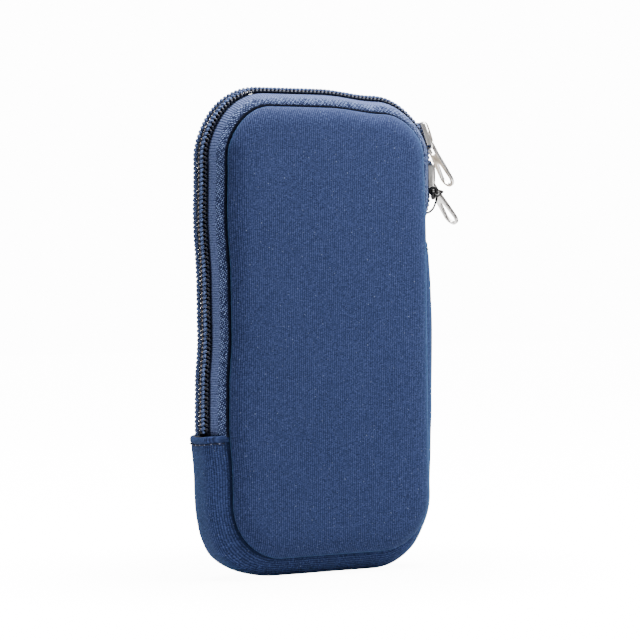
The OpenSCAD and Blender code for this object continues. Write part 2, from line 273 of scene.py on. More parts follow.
# %% Knit
def knit_cloth(name, dark, pale, contrast=1.0, roughness=0.85, slub=(0.20, 0.25, 0.36)):
    nodes = Nodes(name)
    flat = nodes.cloth_coordinates()
    across, along, _ = nodes.split(flat)
    wobble = nodes.noise(flat, WOBBLE_SCALE, 1.0)
    column = nodes.math("DIVIDE", nodes.math("MULTIPLY_ADD", wobble, WALE_WOBBLE, across), WALE)
    number = nodes.math("FLOOR", column)
    row = nodes.math("MULTIPLY_ADD", number, 0.5, nodes.math("DIVIDE", along, COURSE))
    ridge = nodes.math("PINGPONG", column, 0.5)
    loop = nodes.math("PINGPONG", nodes.math("MULTIPLY_ADD", ridge, 0.5, row), 0.5)
    stitch = nodes.math("MULTIPLY", ridge, nodes.math("ADD", loop, 0.25))
    fuzz = nodes.noise(flat, FUZZ_SCALE, 1.0, 0.6)
    tone = nodes.math("MULTIPLY_ADD", stitch, STITCH_SHADE * contrast, STITCH_DARKEST * contrast)
    tone = nodes.vary(tone, nodes.by_chance(number, row), DYE_SHADE * contrast)
    tone = nodes.vary(tone, ridge, WALE_SHADE * contrast, middle=0.25)
    tone = nodes.vary(tone, fuzz, FUZZ_SHADE * contrast)
    tone = nodes.vary(tone, nodes.noise(flat, CLOUD_SCALE, 2.0), CLOUD_SHADE)
    grain = nodes.noise(flat, GRAIN_SCALE, 0.0)
    pits = nodes.map_range(grain, 0.40, 0.25, 0.0, 0.5)
    tips = nodes.map_range(grain, 0.60, 0.75, 0.0, 0.5)
    tone = nodes.math("MULTIPLY_ADD", nodes.math("SUBTRACT", tips, pits), contrast, tone)
    tone = nodes.math("MULTIPLY_ADD", nodes.attribute("crease"), -1.0, tone)
    tone = nodes.clamp(nodes.math("ADD", tone, MIDDLE_TONE))
    speck = nodes.map_range(nodes.noise(flat, SPECK_SCALE, 0.0), 0.79, 0.86)
    colour = nodes.mix(nodes.math("MULTIPLY", speck, SPECK_SHARE), nodes.mix(tone, dark, pale), slub)
    relief = nodes.bump(nodes.math("MULTIPLY_ADD", fuzz, 0.5, stitch), YARN_RELIEF, 0.7)
    return nodes.finish(
        Base_Color=colour,
        Roughness=roughness,
        Normal=relief,
        Sheen_Weight=0.18,
        Sheen_Roughness=0.4,
        Sheen_Tint=(0.14, 0.48, 1.0),
        Specular_IOR_Level=0.12,
    )


COVER_DARK = (0.005, 0.010, 0.038)
COVER_PALE = (0.037, 0.053, 0.140)
GUSSET_DARK = (0.005, 0.010, 0.036)
GUSSET_PALE = (0.042, 0.064, 0.177)
LINING_DARK = (0.006, 0.006, 0.008)
LINING_PALE = (0.030, 0.030, 0.036)
cover_knit = knit_cloth("cover_knit", COVER_DARK, COVER_PALE)
gusset_knit = knit_cloth("gusset_knit", GUSSET_DARK, GUSSET_PALE, contrast=0.85)
lining_knit = knit_cloth("lining_knit", LINING_DARK, LINING_PALE, contrast=0.6, roughness=0.95,
                         slub=LINING_PALE)
print("knits:", cover_knit.name, gusset_knit.name, lining_knit.name)

# %% [markdown]
# The foam core is closed-cell neoprene: dark grey, dull and finely pitted. A Voronoi texture divides
# space into small cells, which makes it a ready pattern for the pits of a cut sponge. It shows only
# at the edges of the opened pouch, so one bump is enough.

# %% Foam
CELL_SCALE = 1500
CELL_DEPTH = 0.12 * MM
FOAM_DARK, FOAM_PALE = (0.020, 0.020, 0.022), (0.075, 0.075, 0.080)


def sponge_foam():
    nodes = Nodes("sponge_foam")
    place = nodes.object_coordinates()
    cells = nodes.add("ShaderNodeTexVoronoi", {"Vector": place, "Scale": CELL_SCALE}).outputs["Distance"]
    tone = nodes.math("MULTIPLY", nodes.noise(place, 300, 3.0), 0.8)
    return nodes.finish(
        Base_Color=nodes.mix(tone, FOAM_DARK, FOAM_PALE),
        Roughness=0.9,
        Normal=nodes.bump(cells, CELL_DEPTH, 0.7),
    )


foam_sponge = sponge_foam()
print("foam:", foam_sponge.name)

# %% [markdown]
# Zip tape is woven in bands. Under the coil it is painted near black, as the coil's shadow. Next come
# crosswise ribs, where the sewing thread pulls the tape in, and then a pebbly twill, which is paler on
# its raised yarns and gets painted shade towards the seam. Where it dips into the seam, its "crease"
# value paints it darker still, as shadow. The bands are drawn on the tape's own map, whose first value
# runs across the tape and whose second runs along it. So every band follows the tape round the
# corners, which no pattern in space could do.

# %% Bands and yarns of the tape
TURN = 2 * math.pi
RIB_PITCH = 0.86 * MM
YARN_PITCH = 0.72 * MM
DASH_PITCH = 0.95 * MM
# How far the ribs and yarns stray, and how much the yarns and their dashes lean
RIB_STRAY, YARN_STRAY = 0.5 * MM, 1.1 * MM
YARN_LEAN, DASH_LEAN = 0.45, 0.45
# Where the bands end, measured across the tape, and half the width of each change. The first band
# is painted shadow under the coil, and the twill gets painted shade from SHADE_FROM to SHADE_TO.
DARK_BAND, DARK_BLUR = 3.1 * MM, 0.3 * MM
RIB_BAND, RIB_BLUR = 6.0 * MM, 0.6 * MM
SHADE_FROM, SHADE_TO, SHADE_MOST = 5 * MM, 9.6 * MM, -0.3
# Scales of the noises that move the yarns aside and that stand for loose fibres
STRAY_SCALE, LINT_SCALE = 420, 1700
# What makes ribs and twill paler or darker: their relief, their loose fibres, and where they start
RIB_SHADE, RIB_LINT, RIB_BASE = 0.22, 1.9, -0.45
TWILL_SHADE, TWILL_LINT, TWILL_BASE = 1.6, 1.7, -1.05
# A pebble's height is drawn by chance, from the least one up
PEBBLE_SPREAD, PEBBLE_LEAST = 5.0, 2.5
RIB_DARK, RIB_PALE = (0.017, 0.026, 0.072), (0.100, 0.131, 0.262)
TWILL_DARK, TWILL_PALE = (0.006, 0.010, 0.036), (0.165, 0.225, 0.420)
# Near-black painted shade: the coil's shadow on the tape, and the shadow in the seam
COIL_SHADOW, SEAM_SHADOW = (0.004, 0.006, 0.016), (0.003, 0.005, 0.014)
print("tape: ribs up to %.1f mm from the coil's middle" % (RIB_BAND / MM))


# %% Zip tape
def twill_tape():
    nodes = Nodes("twill_tape")
    flat = nodes.cloth_coordinates()
    across, along, _ = nodes.split(flat)
    uneven = nodes.math("MULTIPLY_ADD", nodes.noise(flat, STRAY_SCALE, 2.0), RIB_STRAY, along)
    ribs = nodes.math("SINE", nodes.math("MULTIPLY", uneven, TURN / RIB_PITCH))
    leaning = nodes.math("MULTIPLY_ADD", along, YARN_LEAN, across)
    leaning = nodes.math("MULTIPLY_ADD", nodes.noise(flat, STRAY_SCALE, 1.0), YARN_STRAY, leaning)
    yarn = nodes.math("DIVIDE", leaning, YARN_PITCH)
    number = nodes.math("FLOOR", yarn)
    dash = nodes.math("MULTIPLY_ADD", number, 0.5, nodes.math("DIVIDE", uneven, DASH_PITCH))
    dash = nodes.math("MULTIPLY_ADD", nodes.math("FRACT", yarn), DASH_LEAN, dash)
    pebble = nodes.math("MULTIPLY", nodes.math("PINGPONG", yarn, 0.5), nodes.math("PINGPONG", dash, 0.5))
    raised = nodes.math("MULTIPLY_ADD", nodes.by_chance(number, dash), PEBBLE_SPREAD, PEBBLE_LEAST)
    pebble = nodes.math("MULTIPLY", pebble, raised)
    lint = nodes.noise(flat, LINT_SCALE, 2.0, 0.7)
    rib_tone = nodes.math("MULTIPLY_ADD", lint, RIB_LINT, RIB_BASE)
    rib_tone = nodes.math("MULTIPLY_ADD", ribs, RIB_SHADE, rib_tone)
    twill_tone = nodes.math("MULTIPLY_ADD", lint, TWILL_LINT, TWILL_BASE)
    twill_tone = nodes.math("MULTIPLY_ADD", pebble, TWILL_SHADE, twill_tone)
    shade = nodes.map_range(across, SHADE_FROM, SHADE_TO, 0.0, SHADE_MOST)
    twill_tone = nodes.math("ADD", twill_tone, shade)
    twilled = nodes.mix(nodes.clamp(twill_tone), TWILL_DARK, TWILL_PALE)
    ribbed = nodes.mix(nodes.clamp(rib_tone), RIB_DARK, RIB_PALE)
    # Painted shadow under the coil
    in_light = nodes.map_range(across, DARK_BAND - DARK_BLUR, DARK_BAND + DARK_BLUR)
    ribbed = nodes.mix(in_light, COIL_SHADOW, ribbed)
    band = nodes.map_range(across, RIB_BAND - RIB_BLUR, RIB_BAND + RIB_BLUR, kind="SMOOTHSTEP")
    height = nodes.add("ShaderNodeMix", {"Factor": band, 2: ribs, 3: pebble}).outputs[0]
    woven = nodes.mix(band, ribbed, twilled)
    return nodes.finish(
        # Painted shade where the tape dips into the seam
        Base_Color=nodes.mix(nodes.attribute("crease"), woven, SEAM_SHADOW),
        Roughness=0.8,
        Normal=nodes.bump(height, 0.10 * MM, 0.9),
        Sheen_Weight=0.05,
        Sheen_Roughness=0.4,
        Sheen_Tint=(0.3, 0.5, 1.0),
        Specular_IOR_Level=0.08,
    )


tape_twill = twill_tape()
print("tape:", tape_twill.name)

# %% [markdown]
# The zip's coil is glossy nylon, near black. Warm grey highlights are painted on the front row's
# turns: at their heads, on their legs beside the sewing thread and faintly at their heels. The points
# carry how much highlight is painted, because noise alone can't know which part of a turn that is.

# %% Nylon
NYLON_DARK, NYLON_PALE = (0.002, 0.003, 0.009), (0.010, 0.014, 0.034)
NYLON_HIGHLIGHT = (0.42, 0.35, 0.28)


def nylon_coil():
    nodes = Nodes("nylon_coil")
    place = nodes.object_coordinates()
    tone = nodes.noise(place, 900, 2.0)
    patchy = nodes.math("MULTIPLY_ADD", tone, 1.2, 0.35)
    # A warm grey painted highlight, as strong as the points' value gives
    glint = nodes.clamp(nodes.math("MULTIPLY", nodes.attribute("painted_highlight"), patchy))
    return nodes.finish(
        Base_Color=nodes.mix(glint, nodes.mix(tone, NYLON_DARK, NYLON_PALE), NYLON_HIGHLIGHT),
        Roughness=0.32,
        Normal=nodes.bump(nodes.noise(place, 3000, 2.0), 0.03 * MM, 0.3),
        Specular_IOR_Level=0.25,
    )


coil_nylon = nylon_coil()
print("nylon:", coil_nylon.name)

# %% [markdown]
# All thread here is polyester, and the seam binding is a matt weave that looks the same from this
# far. The cord is black: glossy where it is drawn tight in its knot, and matt where it hangs loose.
# A noise finer than the thread stands for the strands, because the strands are thinner than a pixel.

# %% Thread and cord
def sewing_thread(name, dark, pale):
    """Twisted thread. Where its points carry the value "sunk", it lies in its own shadow."""
    nodes = Nodes(name)
    strands = nodes.noise(nodes.object_coordinates(), 2200, 2.0, 0.7)
    tone = nodes.map_range(strands, 0.35, 0.65)
    tone = nodes.math("MULTIPLY", tone, nodes.math("SUBTRACT", 1.0, nodes.attribute("sunk")))
    return nodes.finish(
        Base_Color=nodes.mix(tone, dark, pale),
        Roughness=0.7,
        Normal=nodes.bump(strands, 0.08 * MM, 0.8),
        Specular_IOR_Level=0.15,
    )


def braided_cord(name, roughness, relief, specular):
    nodes = Nodes(name)
    braid = nodes.noise(nodes.object_coordinates(), 1600, 2.0, 0.7)
    return nodes.finish(
        Base_Color=nodes.mix(braid, (0.0, 0.0, 0.0), (0.006, 0.006, 0.007)),
        Roughness=roughness,
        Normal=nodes.bump(braid, relief, 0.7),
        Specular_IOR_Level=specular,
    )


coil_thread = sewing_thread("coil_thread", (0.004, 0.008, 0.030), (0.150, 0.220, 0.450))
hem_thread = sewing_thread("hem_thread", (0.060, 0.070, 0.120), (0.240, 0.250, 0.330))
# Not a thread: the near-black tube in the groove below each hem is painted shadow
groove_shadow = sewing_thread("groove_shadow", (0.001, 0.002, 0.006), (0.012, 0.019, 0.046))
binding_weave = sewing_thread("binding_weave", (0.006, 0.006, 0.010), (0.028, 0.030, 0.040))
glossy_cord = braided_cord("glossy_cord", roughness=0.34, relief=0.12 * MM, specular=0.3)
matt_cord = braided_cord("matt_cord", roughness=0.8, relief=0.03 * MM, specular=0.1)
print("threads:", coil_thread.name, hem_thread.name, groove_shadow.name, binding_weave.name)

# %% [markdown]
# Sliders and pulls are nickel plated. Nickel is never quite clean: fine handling marks change its
# roughness from place to place. Two darker finishes are painted light: a brown one is painted
# reflection on the upper pull's face towards the pouch and painted shade under the upper slider's
# bridge, and a speckled dark one is painted reflection on the lower pull's front faces. One function
# makes all three finishes, which differ in their two colours and in how rough they may get.

# %% Nickel
def polished_nickel(name, dull, bright, roughness, grain=260):
    """Smeared metal. Its roughness goes from the first of the two values to the second."""
    nodes = Nodes(name)
    place = nodes.object_coordinates()
    smear = nodes.noise(place, grain, 4.0, 0.6)
    pits = nodes.noise(place, 2600, 3.0, 0.7)
    return nodes.finish(
        Base_Color=nodes.mix(nodes.map_range(smear, 0.35, 0.65), dull, bright),
        Metallic=0.92,
        Roughness=nodes.map_range(smear, 0.0, 1.0, *roughness),
        Normal=nodes.bump(pits, 0.02 * MM, 0.25),
    )


nickel = polished_nickel("nickel", (0.78, 0.75, 0.71), (0.90, 0.88, 0.86), roughness=(0.10, 0.30))
# Painted brown reflection and shade, and painted dark reflection, each a finish of its own
shade_and_reflection_nickel = polished_nickel("shade_and_reflection_nickel", (0.20, 0.16, 0.12), (0.58, 0.50, 0.41),
                                roughness=(0.22, 0.42))
dark_reflection_nickel = polished_nickel("dark_reflection_nickel", (0.02, 0.02, 0.02), (0.70, 0.66, 0.63),
                                roughness=(0.18, 0.4), grain=1100)
print("metals:", nickel.name, shade_and_reflection_nickel.name, dark_reflection_nickel.name)

# %% [markdown]
# A knotted black cord hangs at the lower pull. It is thin and limp: it leaves the knot, drops in a
# short loop, goes round the pull's neck and ends in the knot again. Its route is the same list of
# points as the solid's, measured in the lower slider's frame: out of the pouch, up the chain, and
# towards the front. A curve with a round bevel would do for a cord, but it has to be a mesh in the
# end, so one helper draws the curve, takes its mesh and removes the curve again.

# %% Route of the cord
LOWER_SLIDER = Vector((SEAM_X, 0, TOP_Z - 5.8 * MM))
CORD_DIAMETER = 0.8 * MM
KNOT_AT = (7.3, -7.5, 4.6)
LOOP_PATH = [
    (7.6, -7.9, 4.6),
    (8.1, -8.8, 4.7),
    (7.9, -10.6, 4.1),
    (7.4, -12.6, 3.3),
    (7.0, -13.9, 1.4),
    (6.9, -14.1, -0.6),
    (7.1, -12.4, -2.6),
    (7.7, -9.6, -3.6),
    (9.1, -6.8, -3.6),
    (11.2, -5.8, -2.9),
    (12.1, -5.8, -0.9),
    (12.2, -6.1, 1.2),
    (11.8, -6.5, 3.1),
    (9.7, -7.4, 4.0),
    (8.0, -7.5, 4.5),
]


def from_slider(point):
    out, up, front = point
    return LOWER_SLIDER + Vector((out, -front, up)) * MM


def smooth_route(points, steps):
    """Points on a smooth line through the given ones, a Catmull-Rom spline."""
    padded = [points[0] * 2 - points[1], *points, points[-1] * 2 - points[-2]]
    route = []
    for a, b, c, d in zip(padded, padded[1:], padded[2:], padded[3:]):
        for k in range(steps):
            t = k / steps
            route.append(0.5 * (
                2 * b + (c - a) * t + (2 * a - 5 * b + 4 * c - d) * t * t
                + (3 * b - a - 3 * c + d) * t ** 3
            ))
    route.append(points[-1])
    return route


loop_route = smooth_route([from_slider(p) for p in LOOP_PATH], steps=6)


# %% Cord loop
def tube(name, route, radius, sides=8, closed=False, swell=None):
    """A round tube along a route, as a mesh. swell scales its radius from point to point."""
    curve = bpy.data.curves.new(name, "CURVE")
    curve.dimensions = "3D"
    curve.bevel_depth = radius
    curve.bevel_resolution = max(0, sides // 2 - 2)
    curve.use_fill_caps = not closed
    spline = curve.splines.new("POLY")
    spline.points.add(len(route) - 1)
    for point, place, wide in zip(spline.points, route, swell or [1.0] * len(route)):
        point.co = (*place, 1)
        point.radius = wide
    spline.use_cyclic_u = closed
    maker = bpy.data.objects.new(name + "_route", curve)
    bpy.context.scene.collection.objects.link(maker)
    mesh = bpy.data.meshes.new_from_object(maker)
    bpy.data.objects.remove(maker)
    bpy.data.curves.remove(curve)
    mesh.name = name
    for polygon in mesh.polygons:
        polygon.use_smooth = True
    return mesh


loop_mesh = tube("cord_loop", loop_route, CORD_DIAMETER / 2)
loop_mesh.materials.append(matt_cord)
cord_loop = add_piece("cord_loop", loop_mesh, "lower_runner", ["tie_loop"], "cord_black")

# %% [markdown]
# The knot is an overhand knot drawn tight. A closed line that winds twice round a ring while it
# waves three times across it is such a knot, the trefoil, and needs no points placed by hand.

# %% Knot
KNOT_R = 2.1 * MM
KNOT_STRAND_R = 0.62 * MM
KNOT_TURNS = 3
KNOT_STEPS = 90
KNOT_SHIFT = Vector((-0.8, -0.6, 0.5)) * MM
# Shares of the knot's radius: its ring, the wave of the cord in and out, and the wave across
KNOT_RING, KNOT_WAVE, KNOT_CROSS = 0.62, 0.38, 0.42
KNOT_SQUEEZE, KNOT_LEAN = 0.8, 0.15


def knot_route():
    """A trefoil round the knot's centre, squeezed flat, as a knot is when it is drawn tight."""
    centre = from_slider(KNOT_AT) + KNOT_SHIFT
    route = []
    for k in range(KNOT_STEPS):
        t = TURN * k / KNOT_STEPS
        ring = KNOT_R * (KNOT_RING + KNOT_WAVE * math.cos(KNOT_TURNS * t))
        offset = Vector((
            KNOT_SQUEEZE * ring * math.cos(2 * t),
            KNOT_CROSS * KNOT_R * math.sin(KNOT_TURNS * t) - KNOT_LEAN * ring,
            ring * math.sin(2 * t),
        ))
        route.append(centre + offset)
    return route


knot_mesh = tube("cord_knot", knot_route(), KNOT_STRAND_R, sides=10, closed=True)
knot_mesh.materials.append(glossy_cord)
cord_knot = add_piece("cord_knot", knot_mesh, "lower_runner", ["tie_knot"], "cord_black")
print("knot:", len(knot_mesh.polygons), "faces")

# %% [markdown]
# Sewn things are never quite straight. The left side of the pouch draws in a little at half height
# and stands out below it, the top sags towards the right, and every cloth surface wanders by a tenth
# of a millimetre or two.
# A sculpted surface could show this, but each piece would need its own. Here one function says where
# a point of cloth really lies, so that pieces which are sewn together move together. The chain stays
# nearly straight where the sliders run on it, and dips inwards below them, where the hem holds it.

# %% Softness
# Each table gives heights, and how far the cloth lies to the right there, both in millimetres
LEFT_LEAN = [(20, 0.0), (36, 0.1), (54, -1.0), (68, -0.7), (86, 0.5), (106, 0.4), (128, -0.5),
             (148, -0.1), (160, 0.5), (172, 0.0)]
CHAIN_DIP = [(90, 0.0), (104, -0.35), (113, -0.9), (119, -1.8), (125, -2.9), (136, 0.0)]
RIGHT_SWELL = [(10, 0.2), (30, 0.3), (95, 0.3), (122, 0.6), (140, 0.0), (155, -0.3), (175, 0.0)]
# The dip grows from the seam outwards and is full at this distance. The swell keeps to the panels'
# right edge by this power of how far to the right a point lies.
DIP_FULL = 6 * MM
SWELL_POWER = 4
CORNER_CUT = 0.5 * MM
TOP_SAG = 1.9 * MM
# The wander is a broad wave and a finer one, given by their scales and the finer one's share
BROAD_WAVE, FINE_WAVE, FINE_SHARE = 38, 110, 0.4
CLOTH_WANDER = 0.12 * MM
HEM_WANDER = 0.15 * MM
CHAIN_WANDER = 0.05 * MM


def smooth_step(t):
    t = max(0.0, min(1.0, t))
    return t * t * (3 - 2 * t)


def read_curve(table, height):
    """A smooth reading of a short table of (height, shift) pairs."""
    if height <= table[0][0]:
        return table[0][1]
    for (low, a), (high, b) in zip(table, table[1:]):
        if height <= high:
            return a + (b - a) * smooth_step((height - low) / (high - low))
    return table[-1][1]


def soften(point, wander=CLOTH_WANDER):
    """Where a point of cloth really lies."""
    height = point.z / MM
    side = max(-1.0, min(1.0, point.x / SEAM_X))
    shift = Vector((0, 0, 0))
    if side < 0:
        shift.x += read_curve(LEFT_LEAN, height) * MM * side * side
    else:
        share = max(0.0, min(1.0, (point.x - SEAM_X) / DIP_FULL))
        shift.x += read_curve(CHAIN_DIP, height) * MM * share
    over = Vector((max(0.0, abs(point.x) - TOP_X), max(0.0, point.z - TOP_Z)))
    if over.x and over.y:
        corner = 2 * over.x * over.y / over.length_squared
        cut = CORNER_CUT * corner * corner
        shift += Vector((-math.copysign(over.x, point.x), 0, -over.y)) / over.length * cut
    if point.z > TOP_Z and point.x > 0:
        rightward = math.sin(math.pi / 2 * min(1.0, point.x / TOP_X)) ** 2
        shift.z -= TOP_SAG * rightward * min(1.0, over.y / TOP_R)
    broad = noise.noise_vector(point * BROAD_WAVE) * wander
    fine = noise.noise_vector(point * FINE_WAVE) * wander * FINE_SHARE
    return point + shift + (broad + fine)


right_end = soften(Vector((TOP_X, 0, SEAM_TOP)))
print("the top sags by %.1f mm towards its right end" % ((SEAM_TOP - right_end.z) / MM))

# %% [markdown]
# Each panel starts as a flat grid, as the cloth does on the cutting table. The grid's corners are
# rounded by the elliptical map from a square to a disc, and then each point is bent over the
# panel's rim by its distance from the seam. The grid's flat places are kept as the cloth map, so the
# knit runs over the rim without stretching. The same grid, set deeper, gives the foam and lining.
# A box with bevelled corners would be quicker, but its poles would pull the knit out of line.

# %% Rim of a panel
RIM = 8 * MM
RIM_INSET = 0.7 * MM
RIM_MIDDLE = 9.5 * MM
RIM_RISE = PANEL_FACE - RIM_MIDDLE
RIM_START = math.radians(-28)
COVER_T = 0.6 * MM
FOAM_T = 2.4 * MM
LINING_T = 0.5 * MM
ARC_SAMPLES = 64
print("laminate: %.1f mm" % ((COVER_T + FOAM_T + LINING_T) / MM))


def rim_curve(depth):
    """The rim's section as (distance along the cloth, outward, forward) from the seam inwards."""
    reach, rise = RIM - RIM_INSET - depth, RIM_RISE - depth
    rows = []
    for k in range(ARC_SAMPLES + 1):
        angle = RIM_START + (math.pi / 2 - RIM_START) * k / ARC_SAMPLES
        out = -RIM + reach * math.cos(angle)
        front = RIM_MIDDLE + rise * math.sin(angle)
        step = math.hypot(out - rows[-1][1], front - rows[-1][2]) if rows else 0.0
        rows.append(((rows[-1][0] if rows else 0.0) + step, out, front))
    return rows


def on_rim(curve, distance):
    """Outward and forward place of the cloth at a distance from the seam."""
    last = curve[-1]
    if distance >= last[0]:
        return last[1] - (distance - last[0]), last[2]
    for a, b in zip(curve, curve[1:]):
        if distance <= b[0]:
            t = (distance - a[0]) / (b[0] - a[0])
            return a[1] + (b[1] - a[1]) * t, a[2] + (b[2] - a[2]) * t
    return last[1], last[2]


def rounded(p, q):
    """The elliptical map from a unit square's corner to a quarter of a disc."""
    return p * math.sqrt(1 - q * q / 2), q * math.sqrt(1 - p * p / 2)


EDGE_EASE, EDGE_EASE_FADE = 0.09, 0.35


def ease_to_edges(t):
    """Moves a grid's rows, from -1 to 1, closer together near its edges, where the rim bends."""
    if t < 0:
        return -ease_to_edges(-t)
    return t + EDGE_EASE * math.sin(math.pi * t) * (1 - EDGE_EASE_FADE * t * t)


# %% [markdown]
# Where cloth dips into a seam, little light gets in. The panel's points carry that as a value named
# "crease", which is 1 at the seam and fades out over the rim. Beside the gusset the two cloths meet
# more openly than at the zip, so the crease is fainter there.

# %% Mesh of a panel
CREASE_FROM = 0.6 * MM
CREASE_FADE = 1.4 * MM
GUSSET_CREASE_SHARE = 0.25
# Smaller than any real length here
TINY = 1e-9


def panel_mesh(name, depth, front, columns, rows, crown):
    """A panel's surface: a flat grid, bent over the rim, with its cloth map and its crease."""
    curve = rim_curve(depth)
    extra = curve[-1][0] - RIM
    half_w = SEAM_X + extra
    mid_z = (SEAM_TOP + SEAM_BOTTOM) / 2
    half_h = (SEAM_TOP - SEAM_BOTTOM) / 2 + extra
    bm = bmesh.new()
    bmesh.ops.create_grid(bm, x_segments=columns, y_segments=rows, size=1)
    flat = bm.verts.layers.float_vector.new("flat")
    crease = bm.verts.layers.float.new("crease")
    for vert in bm.verts:
        x = ease_to_edges(vert.co.x) * half_w
        z = ease_to_edges(vert.co.y) * half_h
        radius = (TOP_R if z > 0 else BOTTOM_R) + extra
        inner_x, inner_z = half_w - radius, half_h - radius
        over_x, over_z = abs(x) - inner_x, abs(z) - inner_z
        outward = Vector((math.copysign(1, x), 0))
        if over_x > 0 and over_z > 0:
            p, q = rounded(over_x / radius, over_z / radius)
            x = math.copysign(inner_x + p * radius, x)
            z = math.copysign(inner_z + q * radius, z)
            length = math.hypot(p, q)
            distance = radius * (1 - length)
            if length > TINY:
                outward = Vector((math.copysign(p, x), math.copysign(q, z))) / length
            base = Vector((math.copysign(inner_x, x), math.copysign(inner_z, z)))
            base = base + outward * (radius - extra)
        elif half_w - abs(x) <= half_h - abs(z):
            distance = half_w - abs(x)
            base = Vector((math.copysign(half_w - extra, x), z))
        else:
            distance = half_h - abs(z)
            outward = Vector((0, math.copysign(1, z)))
            base = Vector((x, math.copysign(half_h - extra, z)))
        out, forward = on_rim(curve, distance)
        place = base + outward * out
        if distance > RIM + extra:
            place = Vector((x, z))
        dome = max(0.0, 1 - (place.x / SEAM_X) ** 2) * max(0.0, 1 - (place.y / half_h) ** 2)
        vert[flat] = (x, z, 0)
        by_gusset = place.y + mid_z < GUSSET_TOP[-1 if place.x < 0 else 1]
        depth_share = GUSSET_CREASE_SHARE if by_gusset else 1.0
        vert[crease] = depth_share * (1 - smooth_step((distance - CREASE_FROM) / CREASE_FADE))
        vert.co = (place.x, -(forward + crown * dome), place.y + mid_z)
    for vert in bm.verts:
        vert.co = soften(vert.co)
        if vert.co.x > 0:
            swell = read_curve(RIGHT_SWELL, vert.co.z / MM) * MM
            vert.co.x += swell * (vert.co.x / SEAM_X) ** SWELL_POWER
    uv = bm.loops.layers.uv.new("cloth")
    for face in bm.faces:
        for loop in face.loops:
            loop[uv].uv = loop.vert[flat][:2]
    bmesh.ops.recalc_face_normals(bm, faces=bm.faces)
    if sum(face.normal.y for face in bm.faces) > 0:
        bmesh.ops.reverse_faces(bm, faces=bm.faces)
    if not front:
        bmesh.ops.scale(bm, vec=(1, -1, 1), verts=bm.verts)
        bmesh.ops.reverse_faces(bm, faces=bm.faces)
    return mesh_from(bm, name)


def thicken(piece, thickness):
    """Gives a sheet its thickness, on its inner side."""
    wall = piece.modifiers.new("wall", "SOLIDIFY")
    wall.thickness = thickness
    wall.offset = -1
    wall.use_even_offset = True


# %% [markdown]
# When the zip is open, the front folds down over a slanting line between the two ends of the zip. A
# hinge would cut the cloth in two there. Here the pieces of the front ride on no body: each keeps
# the place where it was built, with its placing baked into its mesh.


def blend_over_fold(piece):
    """Bakes the piece's placing into its mesh. The piece is not bent over the fold here."""
    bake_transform(piece)


def add_half(name, mesh, front, replaced, material, slot):
    """Adds a piece of the front, which rides on no body, or one of the back, which rides on the pouch."""
    mesh.materials.append(material)
    piece = add_piece(name, mesh, None if front else "pouch", replaced, slot)
    if front:
        blend_over_fold(piece)
    print(name, len(mesh.polygons), "faces")
    return piece


# %% [markdown]
# The two covers settle under a short cloth simulation. The rim is held, as the seam holds it, and
# the foam behind pushes the rest of the knit out with an even, gentle pressure, so the face gets
# the faint swell of a stretched cloth. The result is kept in the mesh.

# %% Settling the covers
SETTLE_STEPS = 16
FOAM_PUSH = 0.6
SETTLE_LIMIT = 0.9 * MM
RIM_HOLD = 0.5 * MM
STRETCH_STIFFNESS, BEND_STIFFNESS = 30, 6
SOLVER_STEPS = 5


def settle(mesh):
    """Lets a cover settle against its sewn rim, and keeps the places that its points come to."""
    scene = bpy.context.scene
    trial = bpy.data.objects.new("settling", mesh.copy())
    scene.collection.objects.link(trial)
    sewn = trial.vertex_groups.new(name="sewn")
    sewn.add([v.index for v in mesh.vertices if abs(v.co.y) < PANEL_FACE - RIM_HOLD], 1.0, "REPLACE")
    cloth = trial.modifiers.new("cloth", "CLOTH")
    cloth.settings.vertex_group_mass = sewn.name
    cloth.settings.quality = SOLVER_STEPS
    cloth.settings.tension_stiffness = STRETCH_STIFFNESS
    cloth.settings.compression_stiffness = STRETCH_STIFFNESS
    cloth.settings.bending_stiffness = BEND_STIFFNESS
    cloth.settings.use_pressure = True
    cloth.settings.uniform_pressure_force = FOAM_PUSH
    cloth.settings.effector_weights.gravity = 0
    cloth.collision_settings.use_collision = False
    cloth.point_cache.frame_end = SETTLE_STEPS
    for step in range(1, SETTLE_STEPS + 1):
        scene.frame_set(step)
    settled = trial.evaluated_get(bpy.context.evaluated_depsgraph_get()).to_mesh()
    furthest = 0.0
    for vertex, moved in zip(mesh.vertices, settled.vertices):
        move = moved.co - vertex.co
        furthest = max(furthest, move.length)
        vertex.co += move * min(1.0, SETTLE_LIMIT / max(move.length, SETTLE_LIMIT))
    bpy.data.objects.remove(trial)
    scene.frame_set(1)
    print("settled by up to %.2f mm" % (furthest / MM))


# %% [markdown]
# Front and back are the same three layers: knit outside, foam in the middle and a black lining. The
# covers have a finer grid, because they are what is seen and what the simulation settles. The front
# is a little fuller than the back in the middle of its face.

# %% Panels
FRONT_CROWN = 0.4 * MM
COVER_GRID, INNER_GRID = (84, 150), (48, 90)
# A layer's name and node, its depth and thickness, its finish and slot, its grid, and its fill
LAYERS = [
    ("panel", "cover", 0, COVER_T, cover_knit, "cover_navy", COVER_GRID, 0.8),
    ("padding", "foam", COVER_T, FOAM_T, foam_sponge, "foam_grey", INNER_GRID, 0.8),
    ("inner", "lining", COVER_T + FOAM_T, LINING_T, lining_knit, "lining_black", INNER_GRID, 0.7),
]


def add_panel(side, layer, node, depth, thickness, material, slot, grid, fill):
    name = side + "_" + layer
    front = side == "front"
    mesh = panel_mesh(name, depth, front, *grid, FRONT_CROWN if front else 0.0)
    if layer == "panel":
        settle(mesh)
    replaced = ["front_" + node, "lower_front_" + node] if front else ["back_" + node]
    piece = add_half(name, mesh, front, replaced, material, slot)
    thicken(piece, thickness)


for side in ("front", "back"):
    for layer in LAYERS:
        add_panel(side, *layer)

# %% [markdown]
# Tape, gusset, hems and bindings are all strips with a constant section that follow the outline.
# Each starts as the section's own points, joined by edges. The edges are extruded along the
# straight stretches and spun round the corners, as a belt is led round its wheels. A bevelled curve
# could do it too, but its section may tilt at the corners, and a seam can't.

